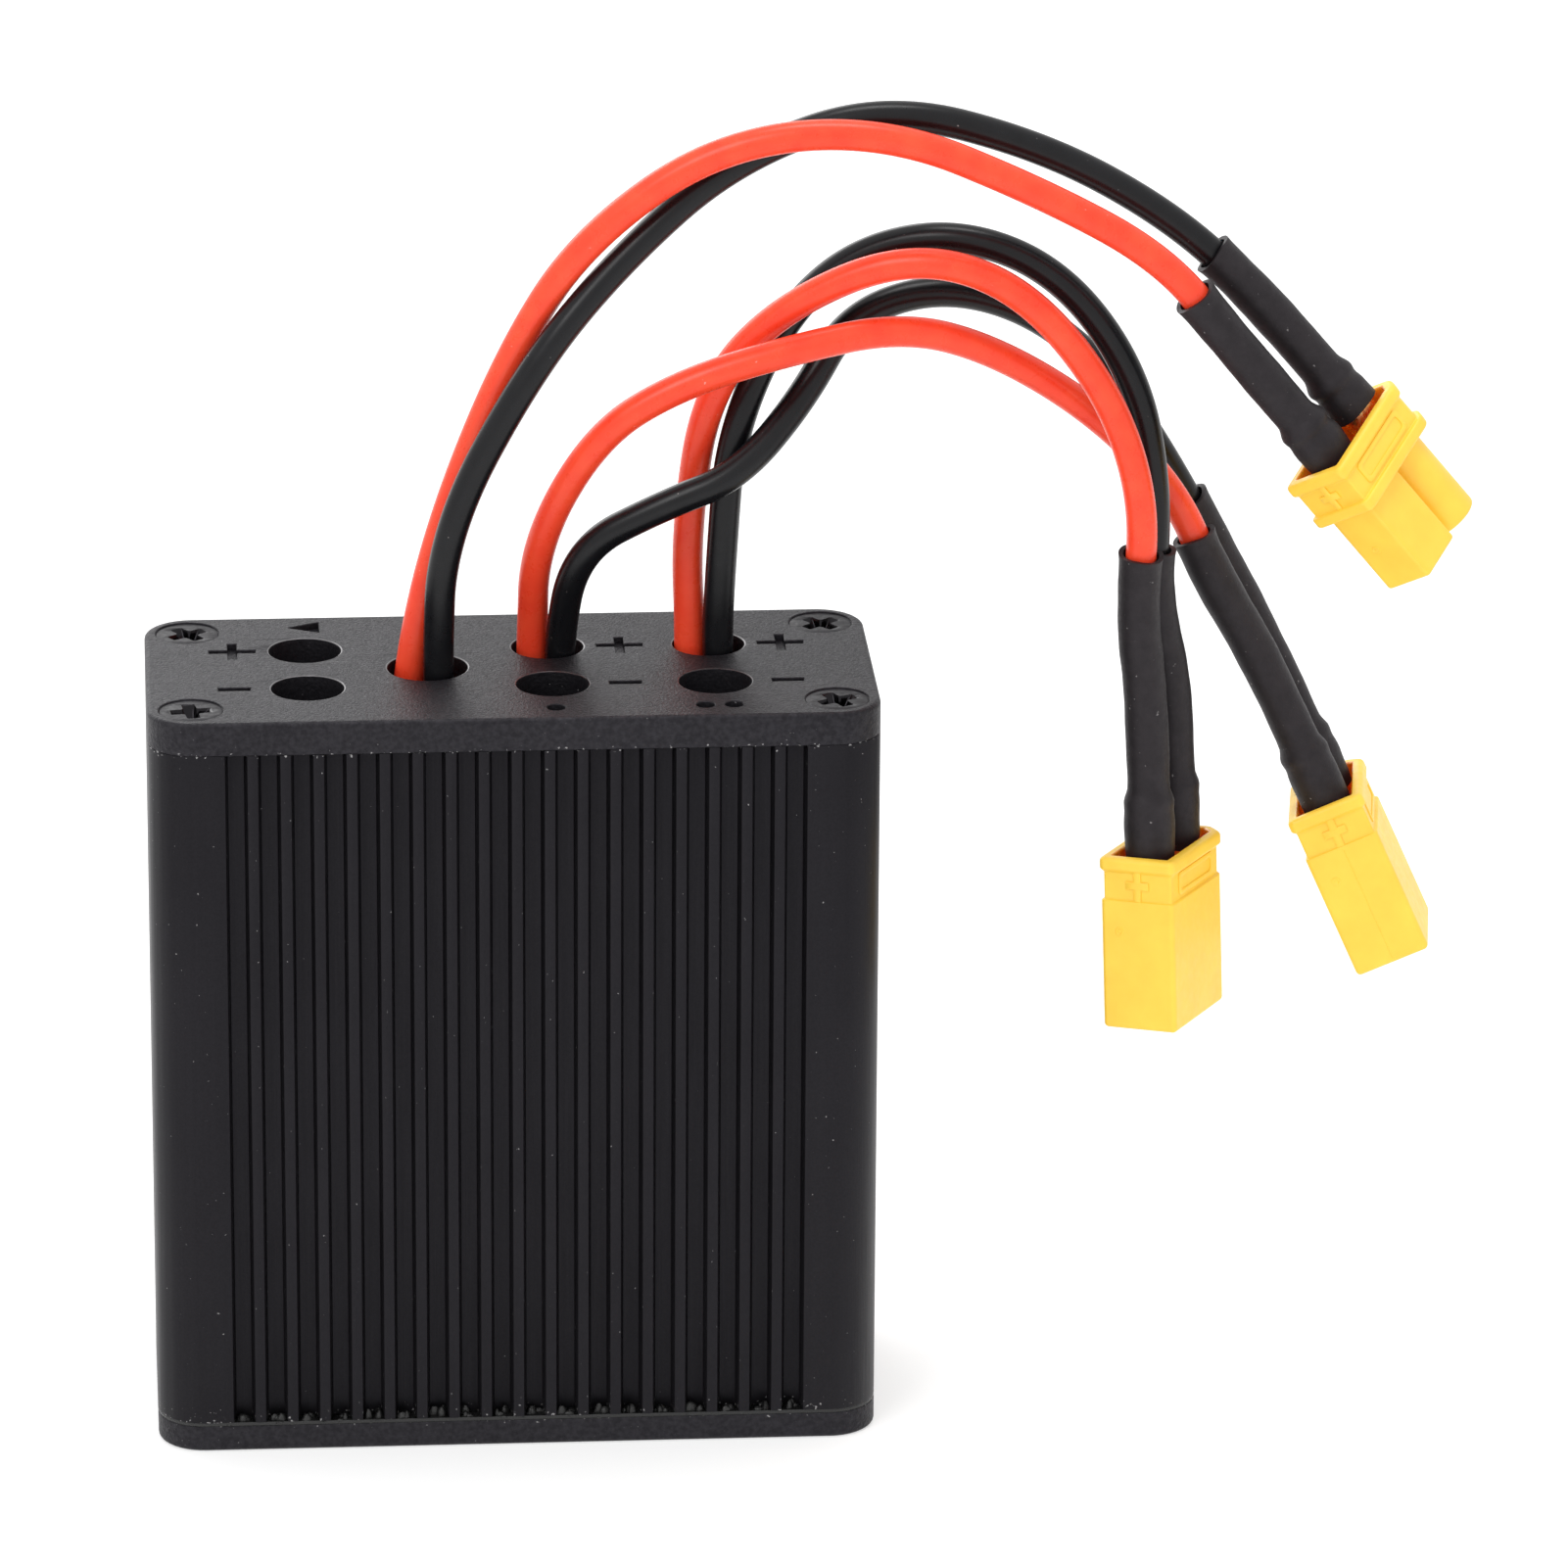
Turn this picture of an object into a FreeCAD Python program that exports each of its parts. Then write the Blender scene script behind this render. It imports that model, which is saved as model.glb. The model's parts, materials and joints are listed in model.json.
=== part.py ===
"""Electronic speed controller for two packs: a ribbed aluminium case that stands on its
bottom plate, with six silicone leads that end in two-pole power connectors.

Frame: millimetres, +Z up, +X to the right along the case's width, -Y towards the front.
The origin is the centre of the bottom plate's underside.
"""
import FreeCAD
import Part

import math
import os

V = FreeCAD.Vector
X, Y, Z = V(1, 0, 0), V(0, 1, 0), V(0, 0, 1)
TINY = 1e-6

# case
CASE_W = 54.0
CASE_D = 23.5
CASE_H = 58.0
CORNER_R = 3.5
TOP_T = 2.5
BOTTOM_T = 2.0
GASKET_T = 0.3
GASKET_INSET = 0.05        # inside the floors of the grooves
PLATE_EDGE_R = 0.3
SIDE_WALL = 2.0
FACE_WALL = 1.3            # behind the grooves
CAVITY_R = 1.5

# ribs on the front and rear faces, as many as fit between the plain strips at the sides
PLAIN_STRIP = 5.6          # at least this wide, from the case's side to the first groove
RIB_W = 1.0
GROOVE_W = 1.42            # at half depth
GROOVE_DEPTH = 1.2
GROOVE_DRAFT = 0.11        # each side leans this far from half depth to the mouth

# end-plate screws, M2.5 countersunk
SCREW_INSET_X = 3.22       # from the case's side to the screw's axis
SCREW_INSET_Y = 3.25       # from the case's front or rear to the screw's axis
SCREW_D = 2.5
SCREW_HEAD_D = 4.7
SCREW_LENGTH = 8.0
SCREW_CLEARANCE = 0.02
HEAD_SINK = 0.1
PORT_WALL = 1.0
RECESS_SPAN = 2.7
RECESS_W = 0.6
RECESS_DEPTH = 0.9

# wire holes in the top plate: x of each pair, and how far each row is from the middle
OUT_X = -15.1
COM_X = -6.1
A_X = 3.0
B_X = 15.05
ROW_Y = 4.15
WIRE_HOLE_D = 5.4
COM_HOLE_D = 6.0

# engraved marks
MARK_DEPTH = 0.3
MARK_W = 0.6
PLUS_SPAN = 3.5
MINUS_SPAN = 2.4
MARK_GAP = 5.4             # from a hole's axis to its plus or minus
LABEL_INSET = 2.45         # from the case's front or rear to the marks that name a pair
LABEL_SPAN = 2.4

# circuit board and what is on it
BOARD_T = 1.6
BOARD_H = 41.3
BOARD_SIDE_GAP = 0.2
SLOT_GAP = 0.05
SLOT_RAIL_T = 0.9
SLOT_RAIL_DEPTH = 1.2
TRANSISTOR = (5.2, 1.0, 6.2)
TRANSISTOR_PITCH = 11.0
TRANSISTOR_ROWS_Z = (11.0, 21.0)
PAD_T = 0.5
PAD_H = 20.0
PAD_W = 42.0
CAPACITOR_D = 6.3
CAPACITOR_GAP = 1.65       # from the cans to the cavity's front wall
CAPACITOR_BASE = 6.6
CAPACITOR_BASE_T = 0.8
CAPACITOR_PITCH = 9.0
CAPACITOR_Z = 12.0
LAND = (3.0, 0.1, 4.0)

# leads: silicone wire
LEAD_D = 2.3
CONDUCTOR_D = 1.3
CONDUCTOR_STUB = 4.0
BEND_SHARE = 0.45          # of the shorter run that a bend takes up
LAST_RUN = 7.0
SOLDER_W = 2.6
SOLDER_H = 3.4
SOLDER_STAND = 2.2         # from the board's face to the solder's crest

# heat-shrink sleeves
SLEEVE_GAP = 0.05
SLEEVE_WALL = 0.4
SLEEVE_TAPER = 2.0
SLEEVE_INSERT = 1.0        # how far a sleeve goes down into its connector

# connectors: 2 mm contacts, 5 mm apart
PITCH = 5.0
NOSE_W = 4.5
NOSE_LENGTH = 7.2
NOSE_CLEARANCE = 0.15      # from the socket's nose to the plug's shell
NECK_W = 1.8
SHELL_SIDE_WALL = 0.525
SHELL_END_WALL = 0.45
FLANGE_SIDE_STEP = 0.125   # from the shell to the flange, at the long sides
FLANGE_END_STEP = 0.1
LIP = 0.9
BAND_INSET = 0.35
BAND_END = 3.3
PLUG_LENGTH = 13.3
CHAMFER = 1.2
REAR_WALL_SIDE = 0.8
REAR_WALL_END = 0.75
REAR_DEPTH = 3.0
WEB_T = 2.4
SOCKET_REAR = 4.2
MOUTH_D = 2.3
MOUTH_T = 0.4
PIN_D = 2.0
PIN_SINK = 1.0             # from the plug's mouth to the pin's tip
SOCKET_BORE_D = 2.06
CONTACT_D = 2.9
CONTACT_FIT = 0.02
CUP_LENGTH = 4.8
CUP_BORE_D = 2.0
CUP_BORE_DEPTH = 4.5
TIP_D = 1.96
PLUS_MARK = 1.8
PLUS_MARK_W = 0.45
PLUS_MARK_H = 0.15

# where each connector lies: centre of its rear face, the way it points, and the way
# from its minus contact to its plus contact
CONNECTORS = {
    "com": {"kind": "socket", "rear": (61.8, 0.0, 75.2), "axis": (0.64, 0.01, -0.77),
            "plus": (-0.50, -0.75, -0.43)},
    "a": {"kind": "plug", "rear": (62.2, 7.5, 44.3), "axis": (0.41, -0.11, -0.91),
          "plus": (-0.11, -0.99, 0.0)},
    "b": {"kind": "plug", "rear": (49.0, -0.5, 43.2), "axis": (0.03, -0.09, -1.0),
          "plus": (-0.47, -0.88, 0.0)},
}

# route of each lead, from the board up through its hole and over to its connector. The
# last two points follow from the connector, so they aren't listed.
ROUTES = {
    "com_red": [(-8.6, 2.3, 42.0), (-7.8, 1.3, 50.0), (-7.5, 0.8, 58.0), (-5.0, 2.0, 68.5),
                (0.0, 1.5, 81.5), (5.5, 0.0, 91.0), (15.5, -1.0, 98.5), (27.5, -1.5, 99.5),
                (39.0, -1.5, 94.5), (48.0, -2.0, 89.5)],
    "com_black": [(-4.9, -2.3, 42.0), (-5.2, -1.6, 50.0), (-5.4, -0.7, 58.0),
                  (-5.0, -1.5, 69.0), (1.5, -1.5, 81.5), (8.0, 0.5, 89.0), (16.5, 1.5, 96.5),
                  (27.5, 1.5, 100.5), (39.5, 2.0, 97.0), (49.0, 2.0, 91.5)],
    "a_red": [(1.0, 2.6, 42.0), (1.6, 3.9, 50.0), (1.9, 4.85, 58.0), (2.0, 3.0, 66.5),
              (6.5, 1.0, 75.5), (12.5, 0.5, 79.5), (20.5, 0.5, 82.0), (29.0, 1.5, 83.5),
              (36.0, 3.5, 81.0), (44.0, 5.0, 75.5), (50.0, 5.5, 69.0), (53.0, 6.0, 62.0)],
    "a_black": [(4.8, 2.4, 42.0), (4.2, 3.1, 50.0), (3.7, 3.4, 58.0), (5.0, 1.5, 66.5),
                (11.5, 0.5, 70.2), (17.0, 0.6, 72.3), (22.0, 4.3, 77.0), (25.5, 7.0, 82.5),
                (32.0, 8.0, 84.5), (39.0, 9.0, 82.5), (45.0, 9.5, 77.5), (49.5, 10.0, 70.5),
                (53.5, 11.0, 63.0)],
    "b_red": [(12.6, 2.6, 42.0), (13.4, 3.9, 50.0), (13.75, 4.75, 58.0), (13.4, 5.2, 66.5),
              (14.9, 4.4, 78.0), (20.5, 3.8, 84.5), (29.5, 1.6, 89.0), (37.5, 0.2, 87.0),
              (44.0, -1.0, 79.5), (47.0, -2.5, 71.0), (46.5, -2.0, 62.0)],
    "b_black": [(17.0, 2.4, 42.0), (16.2, 3.0, 50.0), (15.6, 3.3, 58.0), (16.0, 3.5, 65.5),
                (16.6, 3.5, 74.5), (20.5, 6.5, 82.5), (26.0, 6.0, 88.0), (33.5, 3.8, 90.0),
                (41.0, 2.8, 87.0), (46.5, 1.8, 79.5), (48.3, 1.5, 70.5), (48.0, 2.0, 61.5)],
}
# the run, counted from the connector's end, whose middle is where the sleeve starts
SLEEVE_RUN = {"com": 2, "a": 3, "b": 3}

# worked out from the sizes above
EXTRUSION_Z0 = BOTTOM_T + GASKET_T
EXTRUSION_Z1 = CASE_H - TOP_T
CAVITY_W = CASE_W - 2 * SIDE_WALL
CAVITY_D = CASE_D - 2 * (GROOVE_DEPTH + FACE_WALL)
SCREW_X = CASE_W / 2 - SCREW_INSET_X
SCREW_Y = CASE_D / 2 - SCREW_INSET_Y
SCREW_POINTS = [(sx * SCREW_X, sy * SCREW_Y) for sx in (-1, 1) for sy in (-1, 1)]
PORT_D = SCREW_D + 2 * SCREW_CLEARANCE
HEAD_H = (SCREW_HEAD_D - SCREW_D) / 2
BOARD_W = CAVITY_W - 2 * BOARD_SIDE_GAP
BOARD_Z0 = BOTTOM_T
BOARD_Z1 = BOTTOM_T + BOARD_H
BOARD_FACE = BOARD_T / 2
LABEL_Y = CASE_D / 2 - LABEL_INSET
SHELL_W = NOSE_W + 2 * (NOSE_CLEARANCE + SHELL_SIDE_WALL)
SHELL_L = PITCH + NOSE_W + 2 * (NOSE_CLEARANCE + SHELL_END_WALL)
FLANGE_W = SHELL_W + 2 * FLANGE_SIDE_STEP
FLANGE_L = SHELL_L + 2 * FLANGE_END_STEP
WIRE_HOLES = {
    "out_plus": (OUT_X, ROW_Y, WIRE_HOLE_D), "out_minus": (OUT_X, -ROW_Y, WIRE_HOLE_D),
    "com": (COM_X, 0, COM_HOLE_D),
    "a_plus": (A_X, ROW_Y, WIRE_HOLE_D), "a_minus": (A_X, -ROW_Y, WIRE_HOLE_D),
    "b_plus": (B_X, ROW_Y, WIRE_HOLE_D), "b_minus": (B_X, -ROW_Y, WIRE_HOLE_D),
}


# ---------------------------------------------------------------- general shapes
def unit(vector):
    return vector * (1 / vector.Length)


def cylinder(diameter, height, base, axis=Z):
    return Part.makeCylinder(diameter / 2, height, base, axis)


def box_between(low, high):
    return Part.makeBox(high[0] - low[0], high[1] - low[1], high[2] - low[2], V(*low))


def box_at(size, centre):
    low = [c - s / 2 for c, s in zip(centre, size)]
    return box_between(low, [c + s / 2 for c, s in zip(centre, size)])


def prism(points, z0, z1):
    corners = [V(x, y, z0) for x, y in points]
    outline = Part.makePolygon(corners + corners[:1])
    return Part.Face(outline).extrude(V(0, 0, z1 - z0))


def upright(shape):
    """The shape's straight edges along Z."""
    found = []
    for edge in shape.Edges:
        low, high = edge.Vertexes[0].Point, edge.Vertexes[-1].Point
        if abs(low.x - high.x) < TINY and abs(low.y - high.y) < TINY:
            found.append(edge)
    return found


def rounded_block(width, depth, radius, z0, z1):
    block = box_between((-width / 2, -depth / 2, z0), (width / 2, depth / 2, z1))
    return block.makeFillet(radius, upright(block))


def edges_at_z(shape, z):
    box = [e.BoundBox for e in shape.Edges]
    return [e for e, b in zip(shape.Edges, box) if abs(b.ZMin - z) < TINY and abs(b.ZMax - z) < TINY]


# ---------------------------------------------------------------- case
def groove_centres():
    pitch = RIB_W + GROOVE_W
    mouth = GROOVE_W + 2 * GROOVE_DRAFT
    ribs = int((CASE_W - 2 * PLAIN_STRIP - mouth) / pitch)
    return [(i - ribs / 2) * pitch for i in range(ribs + 1)]


def case_outline():
    """The case's outline with its grooves, anticlockwise from the front left corner."""
    mouth = GROOVE_W / 2 + GROOVE_DRAFT
    floor = GROOVE_W / 2 - GROOVE_DRAFT
    face = CASE_D / 2
    front = [(-CASE_W / 2, -face)]
    for x in groove_centres():
        front += [(x - mouth, -face), (x - floor, GROOVE_DEPTH - face)]
        front += [(x + floor, GROOVE_DEPTH - face), (x + mouth, -face)]
    front.append((CASE_W / 2, -face))
    return front + [(-x, -y) for x, y in front]


def corner_edges(shape):
    """The four upright edges at the case's own corners."""
    corner = (CASE_W / 2, CASE_D / 2)
    edges = upright(shape)
    ends = [e.Vertexes[0].Point for e in edges]
    return [e for e, p in zip(edges, ends)
            if abs(abs(p.x) - corner[0]) < TINY and abs(abs(p.y) - corner[1]) < TINY]


def board_rails():
    """A pair of rails on each side wall that hold the board's edges."""
    near = BOARD_FACE + SLOT_GAP
    rails = []
    for side in (-1, 1):
        wall = side * (CAVITY_W / 2 + TINY)
        inner = wall - side * SLOT_RAIL_DEPTH
        for face in (-1, 1):
            x0, x1 = sorted((wall, inner))
            y0, y1 = sorted((face * near, face * (near + SLOT_RAIL_T)))
            rails.append(box_between((x0, y0, EXTRUSION_Z0), (x1, y1, EXTRUSION_Z1)))
    return rails


def screw_ports(z0, z1):
    """The round bosses in the cavity's corners, before their holes are made."""
    room = rounded_block(CASE_W - SIDE_WALL, CASE_D - 2 * GROOVE_DEPTH - FACE_WALL, CAVITY_R, z0, z1)
    outer = PORT_D + 2 * PORT_WALL
    return [cylinder(outer, z1 - z0, V(x, y, z0)).common(room) for x, y in SCREW_POINTS]


def port_holes(z0, z1):
    return [cylinder(PORT_D, z1 - z0, V(x, y, z0)) for x, y in SCREW_POINTS]


def case_extrusion():
    body = prism(case_outline(), EXTRUSION_Z0, EXTRUSION_Z1)
    body = body.makeFillet(CORNER_R, corner_edges(body))
    body = body.cut(rounded_block(CAVITY_W, CAVITY_D, CAVITY_R, EXTRUSION_Z0, EXTRUSION_Z1))
    body = body.fuse(screw_ports(EXTRUSION_Z0, EXTRUSION_Z1) + board_rails())
    return body.cut(port_holes(EXTRUSION_Z0, EXTRUSION_Z1)).removeSplitter()


def countersink(x, y, outside, inward):
    """The seat of one countersunk screw; inward is +1 or -1 along Z from the outside face."""
    sink = SCREW_HEAD_D / 2 + SCREW_CLEARANCE
    base = V(x, y, outside)
    mouth = cylinder(2 * sink, HEAD_SINK, base, Z * inward)
    cone = Part.makeCone(sink, PORT_D / 2, HEAD_H, base + Z * (inward * HEAD_SINK), Z * inward)
    return mouth.fuse([cone, cylinder(PORT_D, TOP_T + BOTTOM_T, base, Z * inward)])


def plus_cut(x, y, span):
    z = CASE_H
    return [box_at((span, MARK_W, 2 * MARK_DEPTH), (x, y, z)),
            box_at((MARK_W, span, 2 * MARK_DEPTH), (x, y, z))]


def minus_cut(x, y):
    return [box_at((MINUS_SPAN, MARK_W, 2 * MARK_DEPTH), (x, y, CASE_H))]


def dot_cut(x, y):
    return [cylinder(2 * MARK_W, 2 * MARK_DEPTH, V(x, y, CASE_H - MARK_DEPTH))]


def ring_cut(x, y):
    base = V(x, y, CASE_H - MARK_DEPTH)
    hole = cylinder(LABEL_SPAN - 2 * MARK_W, 2 * MARK_DEPTH, base)
    return [cylinder(LABEL_SPAN, 2 * MARK_DEPTH, base).cut(hole)]


def arrow_cut(x, y):
    """A solid triangle that points away from the case's middle."""
    half = LABEL_SPAN / 2
    points = [(x + half, y + half), (x - half, y), (x + half, y - half)]
    return [prism(points, CASE_H - MARK_DEPTH, CASE_H + MARK_DEPTH)]


def mark_cuts():
    """Plus and minus beside each pair, and a sign for each pair: arrow, ring, dots."""
    cuts = []
    for x in (OUT_X - MARK_GAP, A_X + MARK_GAP, B_X + MARK_GAP):
        cuts += plus_cut(x, ROW_Y, PLUS_SPAN) + minus_cut(x, -ROW_Y)
    cuts += arrow_cut(OUT_X, LABEL_Y) + ring_cut(COM_X, LABEL_Y)
    cuts += dot_cut(A_X, -LABEL_Y)
    for x in (B_X - 1.5 * MARK_W, B_X + 1.5 * MARK_W):
        cuts += dot_cut(x, -LABEL_Y)
    return cuts


def top_end_plate():
    plate = rounded_block(CASE_W, CASE_D, CORNER_R, EXTRUSION_Z1, CASE_H)
    plate = plate.makeFillet(PLATE_EDGE_R, edges_at_z(plate, CASE_H))
    cuts = [cylinder(d, TOP_T, V(x, y, EXTRUSION_Z1)) for x, y, d in WIRE_HOLES.values()]
    cuts += [countersink(x, y, CASE_H, -1) for x, y in SCREW_POINTS]
    return plate.cut(cuts + mark_cuts())


def bottom_end_plate():
    plate = rounded_block(CASE_W, CASE_D, CORNER_R, 0, BOTTOM_T)
    plate = plate.makeFillet(PLATE_EDGE_R, edges_at_z(plate, 0))
    return plate.cut([countersink(x, y, 0, 1) for x, y in SCREW_POINTS])


def bottom_gasket():
    """A thin sealing frame that follows the case's wall and its screw ports."""
    inset = GROOVE_DEPTH + GASKET_INSET
    width, depth = CASE_W - 2 * inset, CASE_D - 2 * inset
    frame = rounded_block(width, depth, CORNER_R - inset, BOTTOM_T, EXTRUSION_Z0)
    opening = rounded_block(CAVITY_W, CAVITY_D, CAVITY_R, BOTTOM_T, EXTRUSION_Z0)
    frame = frame.cut(opening).fuse(screw_ports(BOTTOM_T, EXTRUSION_Z0))
    return frame.cut(port_holes(BOTTOM_T, EXTRUSION_Z0)).removeSplitter()


def screw(x, y, outside, inward):
    """One countersunk screw with a cross recess."""
    way = Z * inward
    top = V(x, y, outside) + way * HEAD_SINK
    head = Part.makeCone(SCREW_HEAD_D / 2, SCREW_D / 2, HEAD_H, top, way)
    shank = cylinder(SCREW_D, SCREW_LENGTH - HEAD_H, top + way * HEAD_H, way)
    centre = top + way * (RECESS_DEPTH / 2 - TINY)
    slots = [box_at((RECESS_SPAN, RECESS_W, RECESS_DEPTH), centre),
             box_at((RECESS_W, RECESS_SPAN, RECESS_DEPTH), centre)]
    turn = 45 if x * y > 0 else 20
    for slot in slots:
        slot.rotate(V(x, y, 0), Z, turn)
    return head.fuse(shank).removeSplitter().cut(slots)


# ---------------------------------------------------------------- inside the case
def circuit_board():
    return box_between((-BOARD_W / 2, -BOARD_FACE, BOARD_Z0), (BOARD_W / 2, BOARD_FACE, BOARD_Z1))


def on_board(size, x, z, face):
    """A box of (x, thickness, z) size that sits on the board's rear (+1) or front (-1) face."""
    return box_at(size, (x, face * (BOARD_FACE + size[1] / 2), z))


def transistor_columns():
    return [(i - 1.5) * TRANSISTOR_PITCH for i in range(4)]


def power_transistors():
    return [on_board(TRANSISTOR, x, z, 1) for x in transistor_columns() for z in TRANSISTOR_ROWS_Z]


def pad_middle():
    return sum(TRANSISTOR_ROWS_Z) / len(TRANSISTOR_ROWS_Z)


def thermal_pad():
    low = BOARD_FACE + TRANSISTOR[1]
    return box_at((PAD_W, PAD_T, PAD_H), (0, low + PAD_T / 2, pad_middle()))


def heat_spreader():
    low = BOARD_FACE + TRANSISTOR[1] + PAD_T
    high = CAVITY_D / 2
    return box_at((PAD_W, high - low, PAD_H), (0, (low + high) / 2, pad_middle()))


def capacitor_columns():
    return [(i - 1.5) * CAPACITOR_PITCH for i in range(4)]


def capacitor_bases():
    size = (CAPACITOR_BASE, CAPACITOR_BASE_T, CAPACITOR_BASE)
    return [on_board(size, x, CAPACITOR_Z, -1) for x in capacitor_columns()]


def filter_capacitors():
    start = -BOARD_FACE - CAPACITOR_BASE_T
    height = CAVITY_D / 2 - CAPACITOR_GAP + start
    return [cylinder(CAPACITOR_D, height, V(x, start, CAPACITOR_Z), -Y) for x in capacitor_columns()]


def gate_drivers():
    return [on_board((4.9, 1.5, 3.9), x, 32.0, 1) for x in transistor_columns()]


def microcontroller():
    return [on_board((7.0, 1.2, 7.0), -13.0, 25.5, -1)]


def current_shunts():
    return [on_board((6.4, 0.7, 3.2), x, 22.5, -1) for x in (2.0, 11.0)]


def voltage_regulator():
    return [on_board((6.5, 1.6, 3.5), 19.5, 26.0, -1)]


def regulator_inductor():
    return [on_board((5.0, 3.0, 5.0), 19.5, 33.0, -1)]


def ceramic_capacitors():
    return [on_board((1.6, 0.8, 0.8), -20.0 + 3.2 * i, 32.5, -1) for i in range(8)]


def board_ends():
    """Where each lead meets the board: its first point, and the way its conductor goes on."""
    ends = {}
    for name, points in ROUTES.items():
        first, second = V(*points[0]), V(*points[1])
        ends[name] = (first, unit(first - second))
    return ends


def board_wire_ends():
    return [cylinder(CONDUCTOR_D, CONDUCTOR_STUB, p, way) for p, way in board_ends().values()]


def solder_joints():
    """A solder mound on the board around each conductor's end."""
    mounds = []
    for point, way in board_ends().values():
        face = 1 if point.y > 0 else -1
        middle = point + way * (CONDUCTOR_STUB / 2)
        mound = on_board((SOLDER_W, SOLDER_STAND, SOLDER_H), middle.x, middle.z, face)
        land = on_board((SOLDER_W, LAND[1], SOLDER_H), middle.x, middle.z, face)
        mounds.append(mound.cut([land] + board_wire_ends()))
    return mounds


def solder_lands():
    """Copper lands at the board's top edge, one under each solder mound."""
    lands = []
    for point, way in board_ends().values():
        middle = point + way * (CONDUCTOR_STUB / 2)
        lands.append(on_board(LAND, middle.x, middle.z, 1 if point.y > 0 else -1))
    for face in (-1, 1):
        lands.append(on_board(LAND, OUT_X, BOARD_Z1 - LAND[2], face))
    return lands


# ---------------------------------------------------------------- leads
def connector_frame(name):
    """The rear face's centre, the way the connector points, and the way to its plus contact."""
    place = CONNECTORS[name]
    axis = unit(V(*place["axis"]))
    plus = V(*place["plus"])
    return V(*place["rear"]), axis, unit(plus - axis * plus.dot(axis))


def split_name(lead):
    connector, colour = lead.split("_")
    return connector, 1 if colour == "red" else -1


def contact_point(lead):
    """Where the lead's contact crosses its connector's rear face, and the way it points."""
    connector, sign = split_name(lead)
    rear, axis, plus = connector_frame(connector)
    return rear + plus * (sign * PITCH / 2), axis


def lead_points(lead):
    crossing, axis = contact_point(lead)
    end = crossing - axis * CUP_LENGTH
    return [V(*p) for p in ROUTES[lead]] + [end - axis * LAST_RUN, end]


def bend(before, corner, after):
    """The arc that rounds one corner: its first, middle and last points, and its radius."""
    back, ahead = unit(before - corner), unit(after - corner)
    half_turn = (math.pi - back.getAngle(ahead)) / 2
    cut = BEND_SHARE * min((before - corner).Length, (after - corner).Length)
    radius = cut / math.tan(half_turn)
    middle = corner + unit(back + ahead) * (radius / math.cos(half_turn) - radius)
    return corner + back * cut, middle, corner + ahead * cut, radius


def route_bends(points):
    return [bend(points[i - 1], points[i], points[i + 1]) for i in range(1, len(points) - 1)]


def path_edges(start, bends, end):
    """Straight runs joined by the bends' arcs."""
    edges, here = [], start
    for first, middle, last, _ in bends:
        edges += [Part.LineSegment(here, first).toShape(), Part.Arc(first, middle, last).toShape()]
        here = last
    return edges + [Part.LineSegment(here, end).toShape()]


def pipe(edges, diameter):
    path = Part.Wire(edges)
    start = edges[0].Vertexes[0].Point
    way = unit(edges[0].Vertexes[-1].Point - start)
    ring = Part.Wire(Part.Circle(start, way, diameter / 2).toShape())
    return path.makePipeShell([ring], True, False)


def lead(name):
    points = lead_points(name)
    bends = route_bends(points)
    edges = path_edges(points[0], bends, points[-1])
    solid = pipe(edges, LEAD_D)
    length = sum(e.Length for e in edges)
    share = solid.Volume / (math.pi * LEAD_D ** 2 / 4 * length)
    radii = ", ".join(f"{b[3]:.1f}" for b in bends)
    print(f"{name}: length {length:.1f} mm, volume share {share:.4f}, bend radii {radii}")
    return solid


def sleeve(name):
    """Heat-shrink: narrow on the lead, and wider where it covers the solder cup."""
    points = lead_points(name)
    bends = route_bends(points)
    run = SLEEVE_RUN[split_name(name)[0]]
    before, after = points[-run - 1], points[-run]
    edges = path_edges((before + after) / 2, bends[len(bends) - run + 1:], points[-1])
    bore = LEAD_D + 2 * SLEEVE_GAP
    narrow = pipe(edges, bore + 2 * SLEEVE_WALL).cut(pipe(edges, bore))
    crossing, axis = contact_point(name)
    wide = CONTACT_D + 2 * SLEEVE_GAP
    end = points[-1]
    length = CUP_LENGTH + SLEEVE_INSERT
    skirt = Part.makeCone(bore / 2 + SLEEVE_WALL, wide / 2 + SLEEVE_WALL, SLEEVE_TAPER,
                          end - axis * SLEEVE_TAPER, axis)
    skirt = skirt.cut(cylinder(bore, SLEEVE_TAPER, end - axis * SLEEVE_TAPER, axis))
    tube = cylinder(wide + 2 * SLEEVE_WALL, length, end, axis)
    return narrow.fuse([skirt, tube.cut(cylinder(wide, length, end, axis))]).removeSplitter()


def lead_tip(name):
    """The tinned end of the conductor, soldered into its contact's cup."""
    crossing, axis = contact_point(name)
    return cylinder(TIP_D, CUP_BORE_DEPTH, crossing - axis * CUP_LENGTH, axis)


# ---------------------------------------------------------------- connectors
# Each is built with its rear face on z = 0, pointing along +Z, and its plus contact at +Y.
def housing_outline(width, length, chamfer):
    half_w, half_l = width / 2, length / 2
    return [(-half_w, half_l), (-half_w, chamfer - half_l), (chamfer - half_w, -half_l),
            (half_w - chamfer, -half_l), (half_w, chamfer - half_l), (half_w, half_l)]


def housing_block(width, length, z0, z1, chamfer=CHAMFER):
    return prism(housing_outline(width, length, chamfer), z0, z1)


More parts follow.
